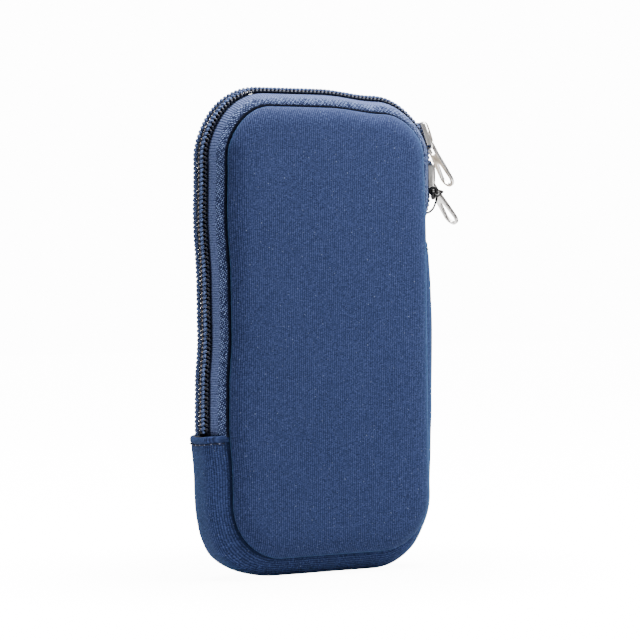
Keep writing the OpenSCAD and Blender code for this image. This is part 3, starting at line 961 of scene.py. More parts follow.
# %% Route of the strips
STRAIGHT_STEP = 2.4 * MM
CORNER_STEPS = 18
OVER_THE_TOP = [
    ("line", (SEAM_X, ZIP_END[1]), (0, TOP_Z - ZIP_END[1])),
    ("turn", (TOP_X, TOP_Z), None),
    ("line", None, (-2 * TOP_X, 0)),
    ("turn", (-TOP_X, TOP_Z), None),
    ("line", None, (0, ZIP_END[-1] - TOP_Z)),
]
UNDER_THE_BOTTOM = [
    ("line", (-SEAM_X, GUSSET_TOP[-1]), (0, BOTTOM_Z - GUSSET_TOP[-1])),
    ("turn", (-BOTTOM_X, BOTTOM_Z), None),
    ("line", None, (2 * BOTTOM_X, 0)),
    ("turn", (BOTTOM_X, BOTTOM_Z), None),
    ("line", None, (0, GUSSET_TOP[1] - BOTTOM_Z)),
]
print("gusset: from %.4f on the left to %.4f on the right" % (GUSSET_TOP[-1], GUSSET_TOP[1]))


# %% Sweep along the outline
def only(kind, geometry):
    return [item for item in geometry if isinstance(item, kind)]


def sweep(section, legs, closed=False):
    """Sweeps a section, given as (outward, forward) points, along the legs of an outline."""
    bm = bmesh.new()
    start = legs[0][1]
    facing = math.copysign(1, start[0])
    verts = [bm.verts.new((start[0] + facing * u, -w, start[1])) for u, w in section]
    pairs = list(zip(verts, verts[1:])) + ([(verts[-1], verts[0])] if closed else [])
    edges = [bm.edges.new(pair) for pair in pairs]
    for kind, centre, travel in legs:
        if kind == "line":
            steps = max(1, round(math.hypot(*travel) / STRAIGHT_STEP))
            for _ in range(steps):
                grown = bmesh.ops.extrude_edge_only(bm, edges=edges)["geom"]
                verts = only(bmesh.types.BMVert, grown)
                edges = [e for e in only(bmesh.types.BMEdge, grown) if all(v in verts for v in e.verts)]
                bmesh.ops.translate(bm, verts=verts, vec=(travel[0] / steps, 0, travel[1] / steps))
        else:
            last = bmesh.ops.spin(
                bm, geom=verts + edges, cent=(centre[0], 0, centre[1]), axis=(0, -1, 0),
                angle=math.pi / 2, steps=CORNER_STEPS, use_merge=False, use_duplicate=False,
            )["geom_last"]
            verts = only(bmesh.types.BMVert, last)
            edges = only(bmesh.types.BMEdge, last)
    return bm


# %% [markdown]
# A strip's pattern has to follow it round the corners. So each point is unrolled: how far along the
# outline it lies, and how far out from it. The first gives the map's length, the second its width
# and the place in the seam's crease.

# %% Map of a strip
def unroll(point):
    """Distance along the seam's outline, and distance outwards from it, of a point."""
    x, z = point.x, point.z
    side = 1 if x >= 0 else -1
    if z > TOP_Z:
        if abs(x) > TOP_X:
            angle = math.atan2(z - TOP_Z, abs(x) - TOP_X)
            run = TOP_Z + TOP_R * angle
            out = math.hypot(abs(x) - TOP_X, z - TOP_Z) - TOP_R
        else:
            run = TOP_Z + TOP_R * math.pi / 2 + TOP_X - abs(x)
            out = z - SEAM_TOP
    elif z < BOTTOM_Z:
        if abs(x) > BOTTOM_X:
            angle = math.atan2(BOTTOM_Z - z, abs(x) - BOTTOM_X)
            run = BOTTOM_Z - BOTTOM_R * angle
            out = math.hypot(abs(x) - BOTTOM_X, BOTTOM_Z - z) - BOTTOM_R
        else:
            run = BOTTOM_Z - BOTTOM_R * math.pi / 2 - (BOTTOM_X - abs(x))
            out = SEAM_BOTTOM - z
    else:
        run, out = z, abs(x) - SEAM_X
    whole = 2 * (TOP_Z + TOP_R * math.pi / 2 + TOP_X)
    return (run if side > 0 else whole - run), out


def map_strip(bm, section):
    """Gives a strip its cloth map: across the section, and along the outline."""
    lengths = [0.0]
    for (u0, w0), (u1, w1) in zip(section, section[1:]):
        lengths.append(lengths[-1] + math.hypot(u1 - u0, w1 - w0))
    uv = bm.loops.layers.uv.new("cloth")
    places = {}
    for vert in bm.verts:
        run, out = unroll(vert.co)
        nearest = min(range(len(section)),
                      key=lambda i: (section[i][0] - out) ** 2 + (section[i][1] + vert.co.y) ** 2)
        places[vert] = (lengths[nearest], run)
    for face in bm.faces:
        for loop in face.loops:
            loop[uv].uv = places[loop.vert]


def face_outwards(bm):
    """Turns an open strip's faces away from the middle of the pouch."""
    bmesh.ops.recalc_face_normals(bm, faces=bm.faces)
    middle = Vector((0, 0, (SEAM_TOP + SEAM_BOTTOM) / 2))
    tally = sum((face.calc_center_median() - middle).dot(face.normal) for face in bm.faces)
    if tally < 0:
        bmesh.ops.reverse_faces(bm, faces=bm.faces)


# %% Mesh of a strip
# Where the seam's crease starts to fade, measured outwards from the seam, and over what distance
TAPE_CREASE = (0, 0.5 * MM)
GUSSET_CREASE = (-1.6 * MM, 2.0 * MM)


def strip_mesh(name, section, legs, closed=False, shape=None, fade=GUSSET_CREASE):
    """A strip along an outline, softened, and then moved by a function of its own if it has one."""
    bm = sweep(section, legs, closed)
    map_strip(bm, section)
    crease = bm.verts.layers.float.new("crease")
    for vert in bm.verts:
        vert[crease] = 1 - smooth_step((unroll(vert.co)[1] - fade[0]) / fade[1])
    if closed:
        bmesh.ops.holes_fill(bm, edges=[e for e in bm.edges if e.is_boundary], sides=0)
        bmesh.ops.recalc_face_normals(bm, faces=bm.faces)
    else:
        face_outwards(bm)
    for vert in bm.verts:
        vert.co = soften(vert.co)
        if shape:
            vert.co = shape(vert.co)
    return mesh_from(bm, name)


def mirrored(section):
    return [(u, -w) for u, w in section]


# %% [markdown]
# The gusset is the same laminate as the panels, bent to a shallow arch. It stands on the crest of
# that arch, which is pressed flat. Its left end stands further out than the zip, and its right side
# is drawn in. The sweep gives an even arch, and a second function then swells it from place to place,
# because a soft pouch never fills its gusset evenly.

# %% Section of the gusset
GUSSET_OUT = 6.2 * MM
GUSSET_ROUND = 7.4 * MM
GUSSET_ALLOWANCE = 2.5 * MM
SECTION_STEPS = 26
# Height and outward swell of the gusset, in millimetres, on the left and on the right. Where the
# swell is negative, the gusset is drawn in.
GUSSET_SWELL = {-1: [(2, 1.6), (8.5, 2.0), (14, 1.4), (20, 1.1), (34, 1.6), (46, 1.8), (52, 1.6)],
                1: [(6, -1.2), (16, -2.2), (30, -2.4), (44, -1.8), (60, -1.2), (85, -0.7)]}
GUSSET_HALF = 8.3 * MM
# Width of the arch's bend from its side to its flat crest, and how softly it bends
CREST_BEND, CREST_EASE = 1.4 * MM, 1.6 * MM
# How far the bottom corner on the left is filled out, and the one on the right drawn in
CORNER_FILL = {-1: 1.2 * MM, 1: -0.6 * MM}
# The swell starts this far inside the seam
SWELL_INSIDE = 2 * MM
# Where a strip dips into its seam: how far in, and how far below its edge
DIPS = [(0.8 * MM, 0.2 * MM), (1.55 * MM, 0.5 * MM)]
LAST_DIP = 0.6 * MM
print("gusset: %.1f mm across and %.1f mm proud" % (2 * GUSSET_HALF / MM, GUSSET_OUT / MM))


def arch(depth, reach=90, steps=SECTION_STEPS):
    """Half-round section of the gusset at a depth, pressed flat at its crest."""
    points = []
    for k in range(steps + 1):
        angle = math.radians(-reach + 2 * reach * k / steps)
        round_u = (GUSSET_ROUND - depth) * math.cos(angle)
        limit = GUSSET_OUT - depth
        soft = limit - CREST_BEND
        if round_u > soft:
            round_u = soft + (limit - soft) * math.tanh((round_u - soft) / CREST_EASE)
        points.append((round_u, (GUSSET_HALF - depth) * math.sin(angle)))
    return points


def tucked(edge, allowance):
    """The last stretch of a strip, where it dips into the seam under the panel's rim."""
    return [(-inwards, edge - below) for inwards, below in (*DIPS, (allowance, LAST_DIP))]


def gusset_section(depth):
    end = tucked(GUSSET_HALF - depth, GUSSET_ALLOWANCE)
    return mirrored(end)[::-1] + arch(depth) + end


# %% Gusset
def swell_gusset(point):
    """Swells the gusset or draws it in, most at the middle of its depth."""
    side = -1 if point.x < 0 else 1
    _, out = unroll(point)
    share = max(0.0, min(1.0, (out + SWELL_INSIDE) / GUSSET_OUT))
    bulge = read_curve(GUSSET_SWELL[side], point.z / MM) * MM * share
    beyond = Vector((max(0.0, abs(point.x) - BOTTOM_X), max(0.0, BOTTOM_Z - point.z)))
    height_share = min(1.0, beyond.x / BOTTOM_R)
    x = point.x + side * bulge * height_share
    z = point.z
    if beyond.x and beyond.y:
        corner = 2 * beyond.x * beyond.y / beyond.length_squared
        fill = CORNER_FILL[side] * corner * corner * share
        x += side * fill * beyond.x / beyond.length
        z = max(0.0, z - fill * beyond.y / beyond.length)
    return Vector((x, point.y, z))


def add_gusset_layer(name, node, depth, thickness, material, slot):
    mesh = strip_mesh(name, gusset_section(depth), UNDER_THE_BOTTOM, shape=swell_gusset)
    mesh.materials.append(material)
    piece = add_piece(name, mesh, "pouch", [node], slot)
    thicken(piece, thickness)
    print(name, len(mesh.polygons), "faces")


add_gusset_layer("gusset_skin", "gusset_cover", 0, COVER_T, gusset_knit, "gusset_navy")
add_gusset_layer("gusset_padding", "gusset_foam", COVER_T, FOAM_T, foam_sponge, "foam_grey")
add_gusset_layer("gusset_inner", "gusset_lining", COVER_T + FOAM_T, LINING_T, lining_knit,
                 "lining_black")

# %% [markdown]
# Inside, a black woven binding covers the raw edges of every seam. It is a flat band: four points
# of section, swept along the same outline and closed at its ends. There is one on each side of the
# gusset, joined to one piece, and one behind each zip tape.

# %% Bindings
BINDING_T = 0.5 * MM
TAPE_HALF = 8.3 * MM
UNDER_TAPE = 1.3 * MM
UNDER_GUSSET = 0.6 * MM


def binding_section(face, run):
    return [(-run, face), (0, face), (0, face - BINDING_T), (-run, face - BINDING_T)]


def join_meshes(name, meshes):
    bm = bmesh.new()
    for mesh in meshes:
        bm.from_mesh(mesh)
        bpy.data.meshes.remove(mesh)
    return mesh_from(bm, name, smooth=False)


def add_bindings():
    inner_face = GUSSET_HALF - UNDER_GUSSET - COVER_T - FOAM_T - LINING_T
    low = binding_section(inner_face, GUSSET_ALLOWANCE)
    both = [strip_mesh("low", part, UNDER_THE_BOTTOM, closed=True) for part in (low, mirrored(low))]
    mesh = join_meshes("gusset_seam_tape", both)
    mesh.materials.append(binding_weave)
    add_piece("gusset_seam_tape", mesh, "pouch", ["gusset_binding"], "binding_black")
    high = binding_section(TAPE_HALF - UNDER_TAPE, SEAM_ALLOWANCE)
    for side, section in (("back", mirrored(high)), ("front", high)):
        name = side + "_seam_tape"
        mesh = strip_mesh(name, section, OVER_THE_TOP, closed=True)
        add_half(name, mesh, side == "front", [side + "_binding"], binding_weave, "binding_black")


add_bindings()

# %% [markdown]
# The zip tape leaves the coil flat and then rolls over to the seam, where its edge disappears under
# the panel's rim. It is a strip like the gusset. A ripple of less than a tenth of a millimetre is
# added beside the seam, because a straight tape would look stamped rather than sewn.

# %% Zip tapes
TAPE_OUT = 4.4 * MM
TAPE_ROUND = 4.9 * MM
TAPE_T = 0.6 * MM
TAPE_EDGE = 1.2 * MM
# The ripple: two waves along the tape, their height, and where beside the seam they are highest
LONG_WAVE, SHORT_WAVE = 5.2 * MM, 3.3 * MM
RIPPLE_HEIGHT = 0.07 * MM
RIPPLE_AT, RIPPLE_REACH = 0.8 * MM, 2.2 * MM


def tape_section():
    start = math.asin(TAPE_EDGE / TAPE_HALF)
    points = []
    for k in range(SECTION_STEPS + 1):
        angle = start + (math.pi / 2 - start) * k / SECTION_STEPS
        points.append((min(TAPE_OUT, TAPE_ROUND * math.cos(angle)), TAPE_HALF * math.sin(angle)))
    return points + tucked(TAPE_HALF, SEAM_ALLOWANCE)


def ripple(point):
    """The tape puckers slightly where the seam's stitches hold it."""
    run, out = unroll(point)
    near_seam = max(0.0, 1 - abs(out - RIPPLE_AT) / RIPPLE_REACH)
    wave = math.sin(TURN * run / LONG_WAVE) + 0.6 * math.sin(TURN * run / SHORT_WAVE + 1)
    push = RIPPLE_HEIGHT * wave * near_seam
    return Vector((point.x, point.y + math.copysign(push, point.y), point.z))


def add_tape(side):
    front = side == "front"
    section = tape_section() if front else mirrored(tape_section())
    name = side + "_zip_tape"
    mesh = strip_mesh(name, section, OVER_THE_TOP, shape=ripple, fade=TAPE_CREASE)
    piece = add_half(name, mesh, front, [side + "_tape"], tape_twill, "tape_blue")
    thicken(piece, TAPE_T)


add_tape("front")
add_tape("back")

# %% [markdown]
# Each row of the zip is one long nylon filament wound to a flat coil. Seen from outside, its turns
# cross the chain, their heads meet those of the other row in the middle, half a pitch apart, and
# their legs end at the sewing thread. One turn could be modelled and repeated by an array, but at the
# corners the turns fan out. So the coil is drawn as it is made: as one line wound along the chain,
# given the filament's thickness.

# %% Way of the chain
CHAIN_OUT = 5.2 * MM
CORNER_RUN = (TOP_R + CHAIN_OUT) * math.pi / 2
RIGHT_RUN = TOP_Z - ZIP_END[1]
CHAIN_LENGTH = 2 * TOP_Z - ZIP_END[-1] - ZIP_END[1] + (TOP_R + CHAIN_OUT) * math.pi + 2 * TOP_X
print("chain: %.1f mm" % (CHAIN_LENGTH / MM))


def chain_point(run, u, w):
    """A point on the zip's way over the top. run is measured at the coil's own height."""
    if run < RIGHT_RUN:
        return Vector((SEAM_X + u, -w, ZIP_END[1] + run))
    run -= RIGHT_RUN
    if run < CORNER_RUN:
        angle = run / (TOP_R + CHAIN_OUT)
        return Vector((TOP_X + (TOP_R + u) * math.cos(angle), -w, TOP_Z + (TOP_R + u) * math.sin(angle)))
    run -= CORNER_RUN
    if run < 2 * TOP_X:
        return Vector((TOP_X - run, -w, SEAM_TOP + u))
    run -= 2 * TOP_X
    if run < CORNER_RUN:
        angle = run / (TOP_R + CHAIN_OUT)
        return Vector((-TOP_X - (TOP_R + u) * math.sin(angle), -w, TOP_Z + (TOP_R + u) * math.cos(angle)))
    run -= CORNER_RUN
    return Vector((-SEAM_X - u, -w, TOP_Z - run))


# %% Zip coils
PITCH = 1.6 * MM
FILAMENT_R = 0.36 * MM
TURN_POINTS = 12
COIL_SIDES = 6
HEAD_REACH = -0.45 * MM
LEG_REACH = 3.75 * MM
COIL_RISE = 1.4 * MM
LEG_DROP = 0.6
# The coil runs on by this much under the hems
TUCK = 1.2 * MM
TURNS = int((CHAIN_LENGTH + 2 * TUCK) / PITCH) - 1
# Powers below 1 make the round winding squarer, with long legs and short bends
SWING_POWER, LIFT_POWER = 0.75, 0.8
TURN_LEAN = 0.13
# Where a turn gets a painted highlight: how strongly, and at which swing from head (1) to heel (-1)
LEG_HIGHLIGHT, LEG_AT = 0.8, -0.5
HEEL_HIGHLIGHT, HEEL_AT = 0.3, -0.85
HIGHLIGHT_REACH = 0.2


def mark_rings(mesh, name, sides, values):
    """Gives each ring of a tube its own value, for its material to read."""
    marks = mesh.attributes.new(name, "FLOAT", "POINT")
    for vertex in range(len(mesh.vertices)):
        marks.data[vertex].value = values[min(vertex // sides, len(values) - 1)]


def coil_route(front):
    """The filament's way, and how much painted highlight each point of it carries.

    Only the front row has it: at the heads, on the legs beside the thread, and at the heels."""
    phase = 0.0 if front else 0.5
    side = 1 if front else -1
    middle = (LEG_REACH + HEAD_REACH) / 2
    half = (LEG_REACH - HEAD_REACH) / 2
    route, painted_highlight = [], []
    for k in range(TURNS * TURN_POINTS):
        turn = k / TURN_POINTS
        angle = TURN * turn
        swing = math.cos(angle)
        w = middle - half * math.copysign(abs(swing) ** SWING_POWER, swing)
        lift = math.copysign(abs(math.sin(angle)) ** LIFT_POWER, math.sin(angle))
        shoulder = 1 - LEG_DROP * max(0.0, w / LEG_REACH) ** 2
        u = TAPE_OUT + FILAMENT_R + COIL_RISE * 0.5 * (1 + lift) * shoulder
        run = -TUCK + (phase + turn + TURN_LEAN * math.sin(2 * angle)) * PITCH
        route.append(soften(chain_point(run, u, side * w), CHAIN_WANDER))
        # Painted highlight on the upper side of the front row's turns
        head = max(0.0, swing - 1 + HIGHLIGHT_REACH) / HIGHLIGHT_REACH
        leg = LEG_HIGHLIGHT * max(0.0, 1 - abs(swing - LEG_AT) / HIGHLIGHT_REACH)
        heel = HEEL_HIGHLIGHT * max(0.0, 1 - abs(swing - HEEL_AT) / HIGHLIGHT_REACH)
        painted_highlight.append(head + leg + heel if front and lift > 0 else 0.0)
    return route, painted_highlight


def add_coil(side):
    front = side == "front"
    route, painted_highlight = coil_route(front)
    name = side + "_zip_coil"
    mesh = tube(name, route, FILAMENT_R, COIL_SIDES)
    mark_rings(mesh, "painted_highlight", COIL_SIDES, painted_highlight)
    add_half(name, mesh, front, [side + "_coil"], coil_nylon, "coil_navy")


add_coil("front")
add_coil("back")

# %% [markdown]
# A line of thread holds each row down. It is sewn over the middle of the coil's legs and dips
# between the turns, so from outside it is a row of small beads, one for each turn. Beads could be
# placed one by one, but a tube whose radius swells and shrinks keeps the thread in one piece. Where
# it is thinnest it also lies deepest, so its points carry how far it is sunk, for its material.

# %% Coil threads
FRONT_THREAD_R, BACK_THREAD_R = 0.62 * MM, 0.74 * MM
BACK_THREAD_RISE = 0.3 * MM
THREAD_AT = 1.95 * MM
THREAD_SLANT = 0.6 * MM
THREAD_LOW, THREAD_HIGH = 5.75 * MM, 6.15 * MM
BEAD_POINTS = 8
THREAD_SIDES = 6
# How much thinner the thread is between its beads
FRONT_NIP, BACK_NIP = 0.28, 0.16
# A nip of FULL_NIP would be sunk wholly, but no point is sunk by more than SUNK_MOST
FULL_NIP = 0.30
SUNK_MOST = 0.85


def thread_route(front):
    """The thread's way, and its share of the full radius at each point."""
    side = 1 if front else -1
    phase = 0.25 if front else 0.75
    nip = FRONT_NIP if front else BACK_NIP
    rise = 0 if front else BACK_THREAD_RISE
    route, swell = [], []
    for k in range(TURNS * BEAD_POINTS):
        turn = k / BEAD_POINTS
        beat = 0.5 + 0.5 * math.cos(TURN * turn)
        w = THREAD_AT - THREAD_SLANT * math.sin(TURN * turn)
        u = THREAD_LOW + (THREAD_HIGH - THREAD_LOW) * beat + rise
        place = chain_point(-TUCK + (phase + turn) * PITCH, u, side * w)
        route.append(soften(place, CHAIN_WANDER))
        swell.append(1 - nip * (1 - beat))
    return route, swell


def add_thread(side):
    front = side == "front"
    route, swell = thread_route(front)
    name = side + "_zip_thread"
    mesh = tube(name, route, FRONT_THREAD_R if front else BACK_THREAD_R, THREAD_SIDES, swell=swell)
    mark_rings(mesh, "sunk", THREAD_SIDES, [min(SUNK_MOST, (1 - wide) / FULL_NIP) for wide in swell])
    add_half(name, mesh, front, [side + "_coil_thread"], coil_thread, "thread_blue")


add_thread("front")
add_thread("back")

# %% [markdown]
# Each end of the gusset is folded over and stitched down: the fold stands out as a soft band, and
# the row of stitches under it pulls a groove into the cloth. The band is a row of flattened rings,
# led round the gusset's end, bridged, and closed at both ends. The stitches are short pieces of tube,
# because on the real hem too they are thread that goes in and out. Between them lies a dark line of
# the same kind, which stands for the shadow in the groove.

# %% Shape of the hems
HEM_THICK = 1.7 * MM
HEM_PROUD = {-1: 0.45 * MM, 1: 0.1 * MM}
HEM_BAND = 2.5 * MM
# How many degrees of the gusset's arch a hem covers, each way from the crest
HEM_REACH = 88
HEM_SIDES = 14
HEM_STATIONS = 44
# At its ends a hem is thinner, and it has its full thickness after this many stations
HEM_END_SHARE = 0.55
HEM_FULL_AFTER = 4
# How far the hem's edge rises at the seams, and dips between them
HEM_END_RISE, HEM_DIP = 0.35 * MM, 0.3 * MM
HEM_SQUARENESS = 0.8
HEM_OVERLAP = 0.3 * MM
print("hems: %.1f mm wide and %.1f mm thick" % (HEM_BAND / MM, HEM_THICK / MM))


def hem_level(share):
    """How far the hem's edge rises or dips at a share of the way from the crest to a seam."""
    return HEM_END_RISE * share * share - HEM_DIP * math.cos(math.pi / 2 * share)


# %% Hem folds
def bridge_rings(bm, rings):
    """Joins a row of rings of the same count into a closed body."""
    for a, b in zip(rings, rings[1:]):
        bmesh.ops.bridge_loops(bm, edges=a + b)
    bmesh.ops.holes_fill(bm, edges=[e for e in bm.edges if e.is_boundary], sides=0)
    bmesh.ops.recalc_face_normals(bm, faces=bm.faces)


def add_ring(bm, sides, placed):
    """A circle whose points are moved by a function of their direction (cos, sin)."""
    made = bmesh.ops.create_circle(bm, cap_ends=False, segments=sides, radius=1)["verts"]
    edges = list(dict.fromkeys(edge for vert in made for edge in vert.link_edges))
    for vert in made:
        vert.co = placed(vert.co.x, vert.co.y)
    return edges


def hem_arc(stations):
    """The way of a hem round the gusset, from the rear seam to the front one."""
    end = tucked(GUSSET_HALF, GUSSET_ALLOWANCE)[:2]
    return mirrored(end)[::-1] + arch(0, HEM_REACH, stations) + end


def hem_mesh(name, side):
    """A soft roll round the gusset's end, closed on all sides."""
    bm = bmesh.new()
    arc = [Vector(point) for point in hem_arc(HEM_STATIONS)]
    last = len(arc) - 1
    rings = []
    for index, point in enumerate(arc):
        along = (arc[min(index + 1, last)] - arc[max(index - 1, 0)]).normalized()
        out = Vector((along.y, -along.x))
        ends = min(1.0, min(index, last - index) / HEM_FULL_AFTER)
        half = HEM_THICK / 2 * (HEM_END_SHARE + (1 - HEM_END_SHARE) * ends)
        middle = point + out * (HEM_PROUD[side] - HEM_THICK / 2)
        z = GUSSET_TOP[side] + HEM_OVERLAP - HEM_BAND / 2 + hem_level(point.y / GUSSET_HALF)

        def placed(c, d):
            place = middle + out * half * math.copysign(abs(c) ** HEM_SQUARENESS, c)
            return Vector((side * (SEAM_X + place.x), -place.y,
                           z + math.copysign(abs(d) ** HEM_SQUARENESS, d) * HEM_BAND / 2))

        rings.append(add_ring(bm, HEM_SIDES, placed))
    bridge_rings(bm, rings)
    uv = bm.loops.layers.uv.new("cloth")
    for face in bm.faces:
        for loop in face.loops:
            loop[uv].uv = (-loop.vert.co.y, loop.vert.co.z)
    for vert in bm.verts:
        vert.co = swell_gusset(soften(vert.co, HEM_WANDER))
    return mesh_from(bm, name)


# %% Stitches of the hems
STITCH_COUNT = 9
STITCH_STATIONS = 90
# From where to where in its step each stitch and each stretch of the groove goes
STITCH_SPAN, GROOVE_SPAN = (0.38, 0.54), (0.58, 1.34)
STITCH_R, GROOVE_R = 0.22 * MM, 0.30 * MM
STITCH_LIFT = {-1: 0.3 * MM, 1: 0.0}
GROOVE_LIFT = {-1: 0.1 * MM, 1: 0.0}


def stitch_mesh(name, side, span, radius, lift):
    """A row of short stitches in the groove below the hem. Each spans a share of its step."""
    first, last = span
    bm = bmesh.new()
    arc = arch(0, HEM_REACH, STITCH_STATIONS)
    for index in range(STITCH_COUNT):
        points = []
        for share in (first, (first + last) / 2, last):
            station = round(STITCH_STATIONS * (index + share) / STITCH_COUNT)
            u, w = arc[min(STITCH_STATIONS, station)]
            z = GUSSET_TOP[side] - HEM_BAND + hem_level(w / GUSSET_HALF)
            point = Vector((side * (SEAM_X + u + lift), -w * (1 + lift / GUSSET_HALF), z))
            points.append(swell_gusset(soften(point, HEM_WANDER)))
        part = tube("stitch", smooth_route(points, steps=4), radius, sides=6)
        bm.from_mesh(part)
        bpy.data.meshes.remove(part)
    return mesh_from(bm, name)


def add_hem(side, word):
    mesh = hem_mesh(word + "_hem_fold", side)
    mesh.materials.append(gusset_knit)
    fold = add_piece(word + "_hem_fold", mesh, "pouch", [word + "_hem"], "gusset_navy")
    mesh = stitch_mesh(word + "_hem_stitching", side, STITCH_SPAN, STITCH_R, STITCH_LIFT[side])
    mesh.materials.append(hem_thread)
    add_piece(word + "_hem_stitching", mesh, "pouch", [word + "_hem_stitches"], "thread_pale")
    mesh = stitch_mesh(word + "_hem_groove", side, GROOVE_SPAN, GROOVE_R, GROOVE_LIFT[side])
    mesh.materials.append(groove_shadow)
    add_piece(word + "_hem_groove", mesh, "pouch", [], "gusset_navy")
    print(word, "hem:", STITCH_COUNT, "stitches")


add_hem(-1, "left")
add_hem(1, "right")

# %% [markdown]
# A slider is a die casting: two plates held apart by a wedge at the nose, rails that guide the
# coils, and a bridge for the pull. A boolean union would join them, but it leaves ragged edges for
# the bevel. So each part starts from a plain outline that is extruded and bevelled all round,
# because nothing on a casting has a sharp edge, and the parts are then set into each other. Lengths
# run along the chain, towards the nose, and heights outwards from the seam.

# %% Slider plates
SLIDER_LEN = 10.5 * MM
SLIDER_W = 9.0 * MM
PLATE_IN = 1.5 * MM
PLATE_OUT = 6.35 * MM
PLATE_T = 1.0 * MM
PLATE_DECK = PLATE_OUT + PLATE_T
PLATE_BEVEL = 0.28 * MM
SHOULDER_AT, SHOULDER_R = 3.0 * MM, 2.25 * MM
# One corner of a plate's tail: how far from the end, and at what share of the half width
TAIL_CORNER = [(0.9 * MM, 0.92), (0.25 * MM, 0.80), (0.0, 0.62)]


def slab(outline, low, high, bevel, segments=3):
    """A closed plate: an outline in the plane, raised from low to high, with rounded edges."""
    bm = bmesh.new()
    face = bm.faces.new([bm.verts.new((x, y, low)) for x, y in outline])
    raised = bmesh.ops.extrude_face_region(bm, geom=[face])["geom"]
    bmesh.ops.translate(bm, verts=only(bmesh.types.BMVert, raised), vec=(0, 0, high - low))
    bmesh.ops.recalc_face_normals(bm, faces=bm.faces)
    rim = [e for e in bm.edges if abs(e.verts[0].co.z - e.verts[1].co.z) < TINY]
    bmesh.ops.bevel(bm, geom=rim, offset=bevel, segments=segments, affect="EDGES", profile=0.5,
                    material=-1, clamp_overlap=True)
    return bm


def arc_points(centre, radius, start, end, steps):
    """Points on an arc, from one angle to another, in degrees."""
    return [
        (centre[0] + radius * math.cos(math.radians(start + (end - start) * k / steps)),
         centre[1] + radius * math.sin(math.radians(start + (end - start) * k / steps)))
        for k in range(steps + 1)
    ]


def plate_outline():
    """The heart-like outline of a slider plate: a straight tail and two round shoulders."""
    half = SLIDER_W / 2
    tail = -SLIDER_LEN / 2
    points = [(tail + inset, half * share) for inset, share in TAIL_CORNER]
    points += [(tail + inset, -half * share) for inset, share in reversed(TAIL_CORNER)]
    points += arc_points((SHOULDER_AT, SHOULDER_R - half), SHOULDER_R, -90, 60, 8)
    points += arc_points((SHOULDER_AT, half - SHOULDER_R), SHOULDER_R, -60, 90, 8)
    return points


print("slider plates: %.1f by %.1f mm" % (SLIDER_LEN / MM, SLIDER_W / MM))

# %% [markdown]
# The bridge is a bent bar that holds the pull. Bending a box would pinch it at the bends, so it is a
# row of rounded rectangles led over an arch and bridged, each set square to the arch.

# %% Slider bridge
BRIDGE_H = 3.0 * MM
BRIDGE_HALF = 5.0 * MM
BRIDGE_W = 2.0 * MM
BRIDGE_BAR = 0.9 * MM
BRIDGE_STATIONS = 22
BRIDGE_SIDES = 12
BRIDGE_SUNK = 0.12 * MM
# How the arch's stations spread, how flat its top is, and how far its feet stay inside its length
SPREAD_POWER, ARCH_POWER, FOOT_SHARE = 1.8, 3.4, 0.94
# How the bar's width narrows from its middle, and the powers that square its section
MIDDLE_SHARE, NARROWING = 1.06, 0.2
WIDTH_POWER, BAR_POWER = 0.6, 0.7


def bridge_mesh():
    """The bridge: an arched bar that narrows a little towards its feet."""
    bm = bmesh.new()
    path = []
    for k in range(BRIDGE_STATIONS + 1):
        t = -1 + 2 * k / BRIDGE_STATIONS
        reach = BRIDGE_HALF * math.copysign(1 - (1 - abs(t)) ** SPREAD_POWER, t) * FOOT_SHARE
        height = (BRIDGE_H - BRIDGE_BAR / 2) * math.sqrt(1 - abs(t) ** ARCH_POWER)
        path.append(Vector((reach, height)))
    rings = []
    for index, centre in enumerate(path):
        along = (path[min(index + 1, BRIDGE_STATIONS)] - path[max(index - 1, 0)]).normalized()
        normal = Vector((-along.y, along.x))
        half = BRIDGE_W / 2 * (MIDDLE_SHARE - NARROWING * abs(2 * index / BRIDGE_STATIONS - 1))

        def placed(c, d):
            place = centre + normal * math.copysign(abs(d) ** BAR_POWER, d) * BRIDGE_BAR / 2
            return Vector((place.x, math.copysign(abs(c) ** WIDTH_POWER, c) * half, place.y))

        rings.append(add_ring(bm, BRIDGE_SIDES, placed))
    bridge_rings(bm, rings)
    return bm


# %% Slider, put together
WEDGE_R = 0.9 * MM
WEDGE_AT = 3.9 * MM
WEDGE_SIDES = 20
# A rail along each side of the outer plate: its two ends, its width, and its lower edge
RAIL_START, RAIL_END = -SLIDER_LEN / 2 + 0.3 * MM, 3.2 * MM
RAIL_INNER, RAIL_OUTER = SLIDER_W / 2 - 0.8 * MM, SLIDER_W / 2 - 0.05 * MM
RAIL_LOW = 4.75 * MM
RAIL_SUNK = 0.3 * MM
RAIL_BEVEL = 0.15 * MM


def rail_outline(side):
    corners = [(RAIL_START, RAIL_INNER), (RAIL_END, RAIL_INNER), (RAIL_END, RAIL_OUTER),
               (RAIL_START, RAIL_OUTER)]
    outline = [(along, side * across) for along, across in corners]
    return outline[::-1] if side > 0 else outline


